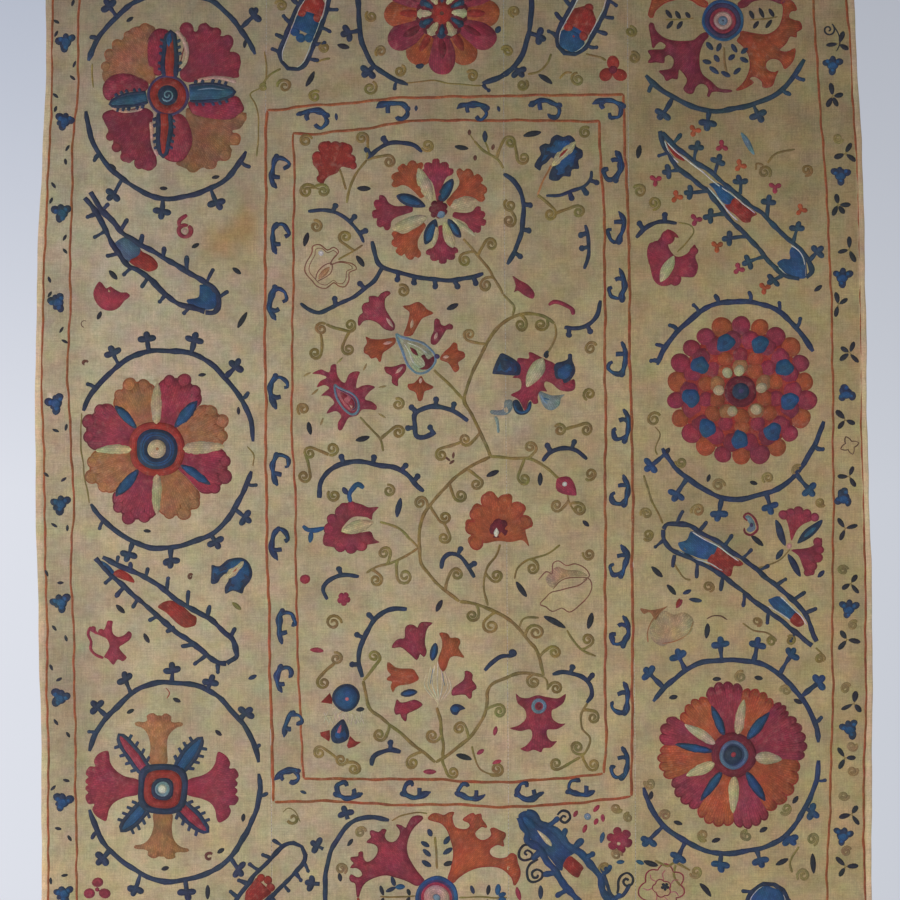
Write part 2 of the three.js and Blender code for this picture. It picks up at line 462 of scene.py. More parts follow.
def ring(name, c, r0, r1, lift=0.0, n=0, power=2.0, squash=1.0):
    n = n or int(max(14, min(48, r1 * 1.8)))
    a = np.linspace(0, 360, n, endpoint=False)
    loft(name, oval(c, r0, r0 * squash, a, power), oval(c, r1, r1 * squash, a, power), lift, closed=True)


def inside(poly, pts):
    x, y = pts[:, 0], pts[:, 1]
    r = np.zeros(len(pts), bool)
    px, py = poly[:, 0], poly[:, 1]
    qx, qy = np.roll(px, -1), np.roll(py, -1)
    for k in range(len(poly)):
        c = (py[k] > y) != (qy[k] > y)
        with np.errstate(divide="ignore", invalid="ignore"):
            xi = (qx[k] - px[k]) * (y - py[k]) / (qy[k] - py[k]) + px[k]
        r ^= c & (x < xi)
    return r


def shape(name, outline, lift=0.0, grain=90.0, radial=None, step=2.6, smoothly=True, crown=0.5):
    """Silk filling any closed outline. grain is the heading of its stitches,
    or radial the point that they spread from."""
    O = curve(outline, step, True) if smoothly else np.asarray(outline, float)
    nxt = np.roll(O, -1, 0)
    keep = np.hypot(*(nxt - O).T) > 0.25
    O = O[keep]
    A2 = (O[:, 0] * np.roll(O[:, 1], -1) - np.roll(O[:, 0], -1) * O[:, 1]).sum()
    if A2 < 0:
        O = O[::-1]
    N = normals(O, True)                    # points outwards for this winding
    inner = O - N * INSET
    n = len(O)
    lo, hi = O.min(0), O.max(0)
    g = 8.0
    gx, gy = np.meshgrid(np.arange(lo[0] + g / 2, hi[0], g), np.arange(lo[1] + g / 2, hi[1], g))
    G = np.column_stack([gx.ravel(), gy.ravel()])
    if len(G):
        G = G[inside(inner, G)]
    if len(G):
        d = np.sqrt(((G[:, None] - O[None]) ** 2).sum(-1)).min(1)
        G = G[d > 2.2]
    pts = np.concatenate([inner, G]) if len(G) else inner
    res = delaunay_2d_cdt([Vector(p) for p in pts], [(k, (k + 1) % n) for k in range(n)],
                          [list(range(n))], 1, 1e-5)
    V = np.array([tuple(v) for v in res[0]])
    F = [f for f in res[2] if len(f) == 3]
    if not F:
        return
    orig = res[3]
    back = {}
    for k, o in enumerate(orig):
        for q in o:
            back[q] = k
    if any(k not in back for k in range(n)) or len(set(back[k] for k in range(n))) < n:
        return
    V = np.concatenate([V, O + N * GROW])
    rim = np.zeros(len(V), bool)
    rim[len(V) - n:] = True
    b = len(V) - n
    k = np.arange(n)
    k2 = (k + 1) % n
    bk = np.array([back[q] for q in range(n)])
    quads = np.stack([b + k, b + k2, bk[k2], bk[k]], -1)
    tris = np.array(F)
    # keep the winding of the fill and of the rim band the same
    t = V[tris]
    ta = ((t[:, 1] - t[:, 0])[:, 0] * (t[:, 2] - t[:, 0])[:, 1] - (t[:, 1] - t[:, 0])[:, 1] * (t[:, 2] - t[:, 0])[:, 0]).sum()
    q = V[quads]
    qa = ((q[:, 2] - q[:, 0])[:, 0] * (q[:, 3] - q[:, 1])[:, 1] - (q[:, 2] - q[:, 0])[:, 1] * (q[:, 3] - q[:, 1])[:, 0]).sum()
    if (ta > 0) != (qa > 0):
        quads = quads[:, ::-1]
    dist = np.sqrt(((V[:, None] - O[None]) ** 2).sum(-1)).min(1)
    H = 0.34 + crown * smooth(dist / 3.2) + lift
    if radial is not None:
        rel = V - np.asarray(radial, float)
        r = np.hypot(rel[:, 0], rel[:, 1])
        a = np.arctan2(rel[:, 1], rel[:, 0])
        rm = np.median(r)
        uvv = np.column_stack([r, a * rm])
        # no jump of a full turn inside one face
        def fix(idx):
            w = uvv[idx]
            d = w[:, :, 1] - w[:, :1, 1]
            w[:, :, 1] -= np.round(d / (2 * np.pi * rm)) * 2 * np.pi * rm
            return w
        quv, tuv = fix(quads), fix(tris)
    else:
        a = math.radians(grain)
        d = np.array([math.cos(a), -math.sin(a)])
        e = np.array([d[1], -d[0]])
        uvv = np.column_stack([V @ d, V @ e])
        quv, tuv = uvv[quads], uvv[tris]
    # painted shade: the patch is darkened along its outline, a painted shadow line where it meets the cloth
    painted_rim_shade = np.where(dist < 0.7, 0.78, 1.0)
    SILKS[FAMILY[name]].add(V, rim, H, dye(name) * painted_rim_shade[:, None], quads, quv * UNIT, tris, tuv * UNIT)


# ------------------------------------------------------------------ motifs
def dash(x, y, deg, L=8.0, w=3.6, name="ink"):
    petal(name, one((x, y), -L / 2, deg), one((x, y), L / 2, deg), w, power=0.55, steps=7)


def stub(x, y, deg, L=6.0, w=4.6, name="navy", curl=0.0):
    """A thorn on a stem: (x, y) is its foot on the stem."""
    mid = one((x, y), L * 0.5, deg)
    tip = one(mid, L * 0.5, deg + curl)
    line(name, [(x, y), mid, tip], w, 0.02, 1.6, taper=(1.0, 0.9), wobble=0.1)
    disc(name, tip, w * 0.56, 0.04, n=9)


def spike(foot, tip, w=4.4, name="navy"):
    line(name, [foot, tip], w, 0.02, 2.0, taper=(1.0, 1.0), wobble=0.1)
    disc(name, tip, w * 0.56, 0.04, n=9)


def trefoil(x, y, deg, s=1.0, name="navy", stem=7.0, leaf=None):
    c = (x, y)
    leaf = leaf or name
    line(name, [one(c, -stem, deg), one(c, 1.5 * s, deg)], 4.6 * s, 0.02, 2.0, taper=(1, 1), wobble=0.1)
    for turn, L in ((0, 8.2), (84, 8.8), (-84, 8.8)):
        petal(leaf, one(c, -1.5 * s, deg + turn), one(c, L * s, deg + turn + RNG.normal(0, 9)), 6.6 * s, 0.05, power=0.4, skew=0.62, steps=8)
    disc(leaf, c, 3.4 * s, 0.04, n=9)


def sprout(x, y, deg, s=1.0, name="navy"):
    """A three-leaved sprout on a long stalk: (x, y) is the foot."""
    c = one((x, y), 9.6 * s, deg)
    line(name, [(x, y), c], 3.2 * s, 0.02, 2.0, taper=(1, 1))
    for turn, L in ((6, 7.2), (72, 8.2), (-72, 8.2)):
        petal(name, one(c, -0.8, deg), one(c, L * s, deg + turn + RNG.normal(0, 8)), 4.8 * s, 0.05, power=0.5, skew=0.62, steps=7)


VINES = []       # points along the vines, which tendrils grow from


def vine(points, w=2.5, name="olive"):
    P = line(name, points, w * 1.42, 0.0, 3.2, taper=(0.8, 0.7))
    VINES.append(P)
    return P


def tendril(x, y, r=6.4, hand=0, name="olive", w=3.3, reach=26.0, turns=1.55, start=None):
    """A coiled tendril round (x, y), grown from the nearest vine."""
    c = np.array([x, y], float)
    src = None
    if start is None and VINES:
        A = np.concatenate(VINES)
        d = np.hypot(*(A - c).T)
        d = np.where(d < r + 1.0, 99, d)
        k = int(np.argmin(d))
        if d[k] < reach:
            src = A[k]
    if hand == 0:
        hand = 1 if (int(x) + int(y)) % 2 else -1
    if src is not None:
        v = src - c
        a0 = math.degrees(math.atan2(-v[1], v[0])) + hand * 62
    else:
        a0 = start if start is not None else float((x * 7 + y * 13) % 360)
    t = np.linspace(0, 1, int(20 * turns / 1.5))
    rad = r * (1 - 0.86 * t ** 0.9)
    P = pol(c, rad, a0 + hand * 360 * turns * t)
    if src is not None:
        gap = np.hypot(*(P[0] - src))
        if gap > 2.0:
            bend = (P[0] + src) / 2 + (P[0] - P[1]) * 0.6
            head = curve([src, bend, P[0]], 2.6)[:-1]
            P = np.concatenate([head, P])
    line(name, P, w, 0.03, raw=True, taper=(0.8, 0.9))
    VINES.append(P[: max(3, len(P) // 2)])


def branch(points, buds=(), w=4.4, name="navy", side=1, L=7.2, taper=(0.6, 0.6), lift=0.0):
    """A dark stem with round-headed thorns at given fractions of its length."""
    P = line(name, points, w, lift, 3.0, taper=taper)
    s = along(P)
    N = normals(P)
    for b in buds:
        sd = side
        if isinstance(b, tuple):
            b, sd = b
        k = int(np.argmin(np.abs(s - b * s[-1])))
        d = -N[k] * sd
        deg = math.degrees(math.atan2(-d[1], d[0])) + RNG.normal(0, 8)
        foot = tuple(P[k])
        tip = one(foot, L, deg)
        line(name, [foot, tip], 5.0, lift + 0.02, 1.8, taper=(1, 1))
        disc(name, one(foot, L * 0.95, deg), 3.4, lift + 0.04, n=9)
    return P


def wreath(c, rx, ry, arcs, heads=(), thorns=(), n=2.0, w=5.5, name="navy", gap_ties=(), tips=None):
    for a0, a1 in arcs:
        a = np.linspace(a0, a1, int(abs(a1 - a0) / 4) + 2)
        P = oval(c, rx, ry, a, n) + np.column_stack([np.sin(a / 9.0), np.cos(a / 7.0)]) * 0.8
        line(name, P, w, 0.0, raw=True, taper=(0.55, 0.55), wobble=0.07)
    for x, y in heads:
        d = math.degrees(math.atan2(-(y - c[1]) / ry, (x - c[0]) / rx))
        q = oval(c, rx, ry, np.array([d]), n)[0]
        L = math.hypot(x - q[0], y - q[1])
        deg = math.degrees(math.atan2(-(y - q[1]), x - q[0]))
        trefoil(x, y, deg, 1.06, name, stem=L, leaf=tips)
    for x, y in thorns:
        d = math.degrees(math.atan2(-(y - c[1]) / ry, (x - c[0]) / rx))
        q = oval(c, rx, ry, np.array([d]), n)[0]
        deg = math.degrees(math.atan2(-(y - q[1]), x - q[0]))
        stub(q[0], q[1], deg, min(9.0, max(5.0, math.hypot(x - q[0], y - q[1]))), 4.2, name, curl=25)
    for tie in gap_ties:
        line("olive", tie, 1.8, -0.02, 3.0)


def lobed(q, lobes, R, depth, swell=0.0):
    """Radius of a scalloped edge at fractions q across a fan."""
    f = (q * lobes) % 1.0
    f = np.where(q >= 1 - 1e-9, 0.0, f)
    bump = np.sqrt(np.maximum(0, 1 - (2 * f - 1) ** 2))
    return R * (1 - swell * (2 * q - 1) ** 2) - depth * (1 - bump)


def fan(name, c, a0, a1, r0, R, lobes=5, depth=3.4, swell=0.04, lift=0.0, waist=0.0):
    step = np.array([0, .05, .16, .33, .5, .67, .84, .95])
    q = np.concatenate([(k + step) / lobes for k in range(lobes)] + [[1.0]])
    a = a0 + (a1 - a0) * q
    r = lobed(q, lobes, R, depth, swell)
    am = (a0 + a1) / 2
    A = pol(c, np.full(len(q), float(r0)), am + (a - am) * (1 - waist))
    B = pol(c, r, a)
    LOFT_SWAP.append(1)
    loft(name, A, B, lift, across=max(2, int((R - r0) / 11)))
    LOFT_SWAP.pop()
    pale, deep = VEINS.get(name, (None, None))
    if pale:
        line(deep, B * 0.985 + np.asarray(c) * 0.015, 1.6, lift + 0.2, raw=True, wobble=0)
        for k in range(lobes + 1):
            b = a0 + (a1 - a0) * k / lobes
            e = R * (1 - swell * (2 * k / lobes - 1) ** 2) - depth - 1.0
            edge = k in (0, lobes)
            s0 = 0.12 if edge else 0.38
            bb = am + (b - am) * (1 - waist)
            turn = (1.5 if k == 0 else -1.5) if edge else 0
            line(deep, [one(c, r0 + (e - r0) * s0, bb * 0.8 + am * 0.2 + turn), one(c, r0 + (e - r0) * 0.75, b * 0.95 + am * 0.05 + turn), one(c, e, b + turn)], 1.9, lift + 0.32, 5.0, wobble=0)
        for k in range(lobes):
            b = a0 + (a1 - a0) * (k + 0.5) / lobes
            e = R * (1 - swell * (2 * (k + 0.5) / lobes - 1) ** 2) - 4.0
            line(pale, [one(c, r0 + (e - r0) * 0.40, b * 0.85 + am * 0.15), one(c, e, b)], 1.5, lift + 0.30, 5.0, wobble=0)


VEINS = {"crimson": ("crimson_pale", "crimson_dark"), "crimson_deep": ("crimson_pale", "crimson_dark"), "ochre": ("ochre_pale", "rust"), "orange": ("ochre", "red")}

HEADS = {   # half outlines: along the axis, half width
    "posy": [(0, .09), (.20, .12), (.42, .17), (.56, .28), (.60, .42), (.67, .51), (.77, .50), (.80, .39), (.87, .40), (.95, .33), (.95, .20), (.92, .13), (1.0, .12), (1.04, .04), (1.03, 0)],
    "palm": [(0, .10), (.28, .16), (.45, .23), (.55, .33), (.57, .43), (.60, .50), (.68, .49), (.80, .43), (.86, .34), (.83, .27), (.93, .27), (1.0, .20), (1.0, .14), (.95, .11), (1.0, .07), (.99, .02), (.95, 0)],
    "crown": [(0, .17), (.3, .17), (.5, .20), (.64, .28), (.72, .38), (.75, .48), (.81, .50), (.84, .42), (.83, .32), (.86, .25), (.94, .26), (1.0, .18), (1.0, .10), (.955, .05), (.96, 0)],
    "bloom": [(0, .12), (.1, .24), (.3, .34), (.46, .38), (.54, .50), (.66, .53), (.71, .43), (.68, .34), (.80, .37), (.91, .31), (.87, .20), (.98, .15), (1.02, .05), (.96, 0)],
    "bell": [(0, .07), (.22, .11), (.46, .18), (.64, .33), (.70, .50), (.80, .50), (.83, .33), (.90, .27), (.99, .20), (1.0, .08), (.94, 0)],
    "trumpet": [(0, .16), (.3, .17), (.55, .26), (.68, .40), (.74, .53), (.82, .54), (.86, .36), (.93, .30), (1.0, .22), (1.02, .12), (.96, 0)],
    "claw": [(0, .12), (.3, .16), (.52, .26), (.62, .44), (.80, .60), (.86, .56), (.78, .40), (.80, .30), (.95, .31), (1.0, .20), (.98, .08), (.94, 0)],
    "fan": [(0, .07), (.16, .12), (.36, .30), (.47, .48), (.60, .52), (.66, .44), (.80, .46), (.88, .33), (.86, .24), (.98, .18), (1.0, .06), (.97, 0)],
    "tulip": [(0, .10), (.12, .30), (.35, .46), (.6, .50), (.85, .56), (.98, .60), (.84, .38), (.70, .24), (.86, .12), (1.0, 0)],
    "round": [(0, .10), (.10, .26), (.24, .44), (.42, .50), (.50, .44), (.62, .48), (.78, .40), (.80, .30), (.92, .24), (.98, .12), (1.0, 0)],
    "drop": [(0, .05), (.2, .22), (.45, .44), (.68, .5), (.88, .36), (1.0, 0)],
}


def head(name, base, tip, w, kind="bell", lift=0.0, radial=True, grain=None):
    a, b = np.asarray(base, float), np.asarray(tip, float)
    d = b - a
    L = np.hypot(*d)
    e = np.array([d[1], -d[0]]) / L
    half = HEADS[kind]
    right = [a + d * s + e * (h * w) for s, h in half]
    left = [a + d * s - e * (h * w) for s, h in half[::-1] if h > 0]
    if radial:
        shape(name, right + left, lift, radial=tuple(a - d * 0.35), step=2.2)
    else:
        shape(name, right + left, lift, grain=grain or 0, step=2.2)


def star(name, c, R, r, n, turn=0.0, lift=0.0, squash=1.0):
    q = np.linspace(0, 1, n * 8, endpoint=False)
    f = np.abs(((q * n) % 1.0) - 0.5) * 2
    rad = r + (R - r) * f ** 1.35
    disc(name, c, R, lift, shape=(q * 2 * np.pi, rad), turn=turn, squash=squash)


def flower(name, c, R, r, n, turn=0.0, lift=0.0):
    """Round-petalled flower head."""
    q = np.linspace(0, 1, n * 8, endpoint=False)
    f = np.abs(np.sin(np.pi * q * n)) ** 0.55
    disc(name, c, R, lift, shape=(q * 2 * np.pi, r + (R - r) * f), turn=turn)


def sword(tip, end, w, fills=(), teeth=6, bow=0.0, edge="navy", white=False, sprouts=False, lean=18,
          wide_at=0.85, sides=(1, -1), blunt=0.0, tooth=7.0, rim=4.6, beak=0.0, power=0.85, starts=(0.6, 0.95), cap_at=1.05):
    """A long leaf with thorns. tip is its point, end its rounded end; a beak leaves
    the two sides open at the point."""
    a, b = np.asarray(tip, float), np.asarray(end, float)
    d = b - a
    L = np.hypot(*d)
    u = d / L
    e = np.array([u[1], -u[0]])
    W = (w - rim) / 2
    s = np.linspace(0, 1, int(L / 3.2))
    cl = a + d * s[:, None] + e * (bow * 4 * s * (1 - s))[:, None]
    rise = np.minimum(s / wide_at, 1.0) ** power * (1 - blunt) + blunt
    hw = 0.5 + beak * (1 - smooth(s / 0.2)) + (W - 0.5) * rise
    cap = W / L * cap_at
    hw = np.where(s > 1 - cap, hw * np.sqrt(np.maximum(0, 1 - ((s - (1 - cap)) / cap) ** 2)), hw)
    N = normals(cl)
    right, left = cl + N * hw[:, None], cl - N * hw[:, None]
    for name, s0, s1, wide in [f if len(f) == 4 else f + (0.8,) for f in fills]:
        k = np.flatnonzero((s >= s0 - 1e-6) & (s <= s1 + 1e-6))
        if len(k) < 3:
            continue
        t = (s[k] - s0) / (s1 - s0)
        # narrow where it begins, scalloped where it ends
        prof = (0.35 + 0.65 * smooth(t / 0.4)) if s0 > 0.03 else 0.9 + 0 * t
        half = np.maximum(hw[k] * wide * prof, 0.5)
        loft(name, cl[k] + N[k] * half[:, None], cl[k] - N[k] * half[:, None], -0.04, across=2)
        if s1 < 0.93:
            kk, rr = k[-1], half[-1]
            for q, far in ((-0.62, 0.25), (0.0, 0.55), (0.62, 0.25)):
                disc(name, cl[kk] + N[kk] * rr * q + u * rr * far, rr * 0.42, -0.05, n=10)
        if s0 > 0.08:
            kk, rr = k[0], half[0]
            disc(name, cl[kk], rr, -0.06, n=12)
    line(edge, right if beak else np.concatenate([right, left[-2:-1]]), rim, 0.06, raw=True, taper=(0.7, 1), wobble=0.08)
    line(edge, left, rim, 0.06, raw=True, taper=(0.7, 1), wobble=0.08)
    if white:
        for side in (1, -1):
            m = (hw > rim * 0.8)
            line("white", (cl + N * (side * np.maximum(hw - rim * 0.62, .3))[:, None])[m], 1.0, 0.12, raw=True, wobble=0)
    for side in sides:
        for q in range(teeth):
            f = (q + (starts[0] if side > 0 else starts[1])) / (teeth + 0.5)
            k = int(np.clip(round(f * (len(s) - 1)), 1, len(s) - 2))
            p = cl[k] + N[k] * hw[k] * side
            dv = N[k] * side
            deg = math.degrees(math.atan2(-dv[1], dv[0]))
            back = math.degrees(math.atan2(u[1], -u[0]))     # heading of the tip
            turn = ((back - deg + 180) % 360) - 180
            deg = deg + math.copysign(lean, turn) + RNG.normal(0, 5)
            if sprouts and 0.06 < f:
                sprout(p[0], p[1], deg, 0.95, edge)
            else:
                stub(p[0], p[1], deg, tooth + 2.6 + RNG.normal(0, 0.8), rim * 0.92, edge, curl=RNG.normal(0, 16))


def leaf(strands, fills, thorns, w=5.0, edge="navy", white=(), sprays=(), buds=()):
    """A long leaf: two stitched sides that meet at the ends, patches of colour
    between them, and thorns given by foot and tip."""
    for P in strands:
        line(edge, P, w + 0.5, 0.12, 2.8, taper=(0.9, 0.95), wobble=0.08)
    for nm, P in fills:
        Q = np.asarray(P, float)
        m = Q.mean(0)
        Q = m + (Q - m) * (1 + 1.5 / np.hypot(*(Q - m).T).mean())
        shape(nm, Q, 0.0, grain=-42, step=2.2)
    for P in white:
        line("white", P, 1.5, 0.25, 3.0, wobble=0)
    for q in thorns:
        spike(q[:2], q[2:], w * 0.86, edge)
    for q in sprays:
        d = math.degrees(math.atan2(q[1] - q[3], q[2] - q[0]))
        trefoil(q[2], q[3], d, 0.94, edge, stem=math.hypot(q[2] - q[0], q[3] - q[1]))


def serrated(core, edge, base, tip, w, teeth=4, lift=0.0, rim=3.6, tooth=4.2):
    """A short toothed leaf: a filled lens with a dark edge and small teeth."""
    a, b = np.asarray(base, float), np.asarray(tip, float)
    d = b - a
    L = np.hypot(*d)
    u = d / L
    s = np.linspace(0, 1, 15)
    h = (w - rim) / 2 * np.maximum(np.sin(np.pi * (0.24 + 0.76 * s)), 0) ** 0.45
    cl = a + d * s[:, None]
    N = normals(cl)
    loft(core, cl + N * (h * 0.9)[:, None], cl - N * (h * 0.9)[:, None], lift, across=1)
    loop = np.concatenate([cl + N * h[:, None], (cl - N * h[:, None])[::-1][1:]])
    line(edge, loop, rim, lift + 0.12, raw=True)
    for side in (1, -1):
        for q in range(teeth):
            k = int(1 + (q + 0.5) / teeth * 12)
            p = cl[k] + N[k] * (h[k] + rim * 0.3) * side
            dv = N[k] * side * 1.0 + u * 0.45
            dv = dv / np.hypot(*dv)
            line(edge, [p, p + dv * (tooth + 1.0)], 3.5, lift + 0.1, 2.0, taper=(1, 0.8), wobble=0)


WING_A = [(706, 33), (708, 37), (704, 41), (701, 47), (699, 55), (699, 65), (703, 74), (710, 81), (719, 88), (730, 90), (733, 91), (727, 92.5), (718, 91), (712, 92), (710, 96), (708, 95), (709, 90), (706, 85), (701, 83), (696, 86), (693, 92), (688, 92), (684, 88), (687, 83), (688, 79), (684, 73), (679, 68), (678, 72), (677, 78), (672, 77), (666, 80), (664, 76), (659, 71), (663, 70), (671, 68), (674, 63), (673, 57), (668, 54), (664, 57), (664, 62), (656, 61), (648, 62), (651, 56), (648, 50), (655, 49), (663, 49), (666, 45), (661, 41), (656, 44), (653, 47), (652, 38), (649, 25), (653, 23), (656, 30), (664, 37), (673, 40), (683, 41), (693, 40), (700, 35)]
WING_B = [(741, 31), (746, 31), (755, 33), (765, 34), (773, 31), (780, 25), (783, 16), (783, 6), (781, 0), (790, 0), (797, 9), (791, 11), (789, 17), (795, 20), (800, 21), (802, 28), (797, 32), (797, 37), (791, 36), (787, 42), (780, 49), (785, 51), (790, 50), (795, 48), (795, 54), (793, 61), (786, 68), (784, 65), (780, 60), (773, 58), (767, 61), (766, 67), (770, 71), (776, 72), (779, 70), (776, 76), (773, 84), (768, 87), (763, 87), (763, 82), (758, 77), (753, 76), (750, 79), (754, 82), (748, 86), (742, 89), (737, 90), (742, 85), (748, 77), (751, 68), (750, 58), (747, 50), (742, 44), (738, 40), (741, 35)]


WING_C = WING_A[:48] + WING_A[54:]


def rose_core(c, bands):
    for nm, r0, r1 in bands:
        if r0 == 0:
            disc(nm, c, r1, 0.3)
        else:
            ring(nm, c, r0, r1, 0.26)


def window_sprig(c, ax):
    """Leaves along a stalk, in the oval window above or below a flame rosette's middle."""
    line("olive", [one(c, 27, ax), one(c, 60, ax + 2)], 2.6)
    for d, side, L, q in ((30, 1, 10, 62), (31, -1, 9, 70), (40, 1, 9, 48), (42, -1, 10, 55), (50, 1, 9, 62), (52, -1, 9, 40), (60, 1, 7, 30)):
        f = one(one(c, d * 1.0, ax), 5.5 + (d % 3), ax + side * 90)
        petal("ink" if d % 2 else "navy", f, one(f, L + 1.5, ax + side * q), 5.6, power=0.5, skew=0.5)


def wings(c, rows):
    for nm, Q in rows:
        shape(nm, Q, 0.0, radial=c, step=2.2)
        line({"crimson": "crimson_dark", "crimson_deep": "crimson_dark"}.get(nm, "red"), Q, 1.2, 0.15, 2.8, closed=True, wobble=0)


WING_E = [(423.8, 879.8), (414, 867.2), (407.7, 856), (406.3, 844.8), (409.8, 833.6), (415.4, 825.2), (423.5, 818.2), (419.6, 815.4), (412.6, 816.1), (409.1, 821.7), (406.3, 828), (402.1, 825.9), (396.5, 824.9), (400, 830.1), (399.7, 835), (395.8, 840.6), (390.2, 842), (386, 839.2), (384.3, 834.3), (386, 829.4), (382.5, 828.7), (379, 832.2), (372, 830.1), (370.9, 833.6), (372, 837.1), (367.1, 842), (373.4, 843.4), (377.6, 847.6), (376.9, 854.6), (372, 860.2), (366.4, 861.6), (362.9, 857.4), (362.2, 851.8), (358.7, 852.5), (358, 856), (351, 856.7), (351.7, 860.2), (353.8, 862.3), (350.3, 867.2), (355.9, 867.2), (360.8, 870), (362.5, 874.2), (359.4, 877), (355.9, 877), (351, 874.2), (349.6, 878.4), (351.7, 881.2), (355.2, 882.6), (356.6, 889.6), (358, 895.9), (362.2, 885.4), (367.8, 879.8), (376.2, 876.3), (386, 874.9), (395.8, 877), (407, 881.2), (416.8, 885.4)]
WING_F = [(448.3, 878.4), (451.8, 867.2), (453.2, 856), (451.8, 843.4), (447.6, 830.8), (440.6, 823.1), (433.6, 821), (428.4, 818.9), (432.9, 814), (439.2, 813.7), (443.4, 815.4), (449, 812.6), (453.9, 812.6), (451.8, 816.8), (452.5, 822.4), (454.6, 827.3), (460.2, 829.4), (466.5, 828.7), (470, 825.2), (467.9, 821.7), (463, 819.6), (468.6, 814.7), (472.8, 813.3), (474.9, 815.4), (479.8, 814), (481.2, 819.6), (486.1, 825.2), (486.1, 827.7), (481.9, 826.6), (477, 829.4), (474.2, 832.9), (476.3, 837.1), (481.9, 839.9), (488.2, 838.5), (491.7, 834.3), (490.3, 829.4), (493.8, 827.3), (498.7, 829.4), (505, 832.2), (505, 836.4), (502.9, 839.9), (503.6, 845.5), (498, 844.1), (491, 847.6), (489.6, 851.8), (492.4, 856), (499.4, 858.1), (507.1, 856.7), (511.3, 852.5), (516.2, 854.6), (517.6, 861.6), (519.7, 871.4), (517.6, 879.8), (514.1, 884.7), (511.3, 877), (503.6, 868.6), (493.8, 866.1), (481.2, 866.5), (470, 870), (458.8, 877), (453.2, 882.6)]


def hook(x, y, turn, s=1.0, name="indigo"):
    """The curled leaf of the inner border. turn is clockwise, in degrees."""
    a = math.radians(turn)
    j = RNG.normal(0, 0.7, (14, 2))
    k = iter(j)

    def tr(p):
        q = next(k)
        p = (p[0] + q[0], p[1] + q[1])
        return (x + s * (p[0] * math.cos(a) - p[1] * math.sin(a)), y + s * (p[0] * math.sin(a) + p[1] * math.cos(a)))
    spine = [tr(p) for p in ((-2.0, -14.5), (-4.6, -9.0), (-6.8, -2.0), (-6.8, 6.0), (-4.8, 12.5), (-1.2, 18.5))]
    curl = [spine[1], tr((1.0, -13.4)), tr((6.5, -12.2)), tr((9.8, -8.0)), tr((9.6, -3.4)), tr((5.6, -2.0))]
    line(name, spine, 5.8, 0.0, 2.2, taper=(1.0, 0.3), wobble=0.12)
    line(name, curl, 4.6, 0.02, 2.2, taper=(1.0, 0.8), wobble=0.12)
    disc(name, spine[0], 3.4 * s, 0.04, n=10)
    line(name, [spine[3], tr((-2.0, 7.4)), tr((3.0, 6.4))], 4.8, 0.03, 2.0, taper=(1, 0.9))
    line("blue", spine[0:5], 2.6, 0.3, 2.5)
    line("blue", curl[1:5], 2.0, 0.3, 2.5)


def border_flower_left(x, y, turn):
    c = (x, y)
    for deg, d, r in ((35, 6.6, 4.6), (160, 6.8, 4.8), (265, 6.4, 4.8), (95, 4.5, 4.2), (215, 5.0, 3.6)):
        disc("navy", one(c, d, deg + turn + RNG.normal(0, 10)), r + RNG.normal(0, 0.5), 0.0, n=11, squash=0.85, turn=deg)
    disc("navy", c, 6.2, 0.02, n=12)
    for deg, d, r in ((35, 5.6, 2.8), (160, 5.8, 3.2), (265, 5.2, 3.2)):
        disc("blue", one(c, d, deg + turn), r, 0.3, n=10)
    disc("blue", c, 4.8, 0.32, n=12)


def border_flower_right(x, y, turn=0.0):
    c = (x, y)
    for deg, d, r in ((155, 7.0, 4.4), (28, 7.0, 4.4), (270, 6.4, 4.8), (90, 4.6, 4.0)):
        disc("navy", one(c, d, deg + turn + RNG.normal(0, 8)), r + RNG.normal(0, 0.4), 0.0, n=11, squash=0.8, turn=deg)
    disc("navy", c, 6.4, 0.02, n=12)
    disc("blue", (x, y + 1.2), 5.4, 0.32, squash=0.8)
    for deg in (155, 28, 270):
        disc("blue", one(c, 6.0, deg + turn), 2.7, 0.32, n=9)


def sprig(x, y, leaves, L=9.5, w=5.0, name="ink", stalk=1.4):
    c = (x, y)
    for deg in leaves:
        petal(name, one(c, stalk, deg), one(c, stalk + L + RNG.normal(0, 0.8), deg + RNG.normal(0, 5)), w + RNG.normal(0, 0.4), 0.0, power=0.5, skew=0.6)
    for deg in leaves[:3]:
        line("olive", [c, one(c, stalk + 2.5, deg)], 1.8, 0.0, 2.0)


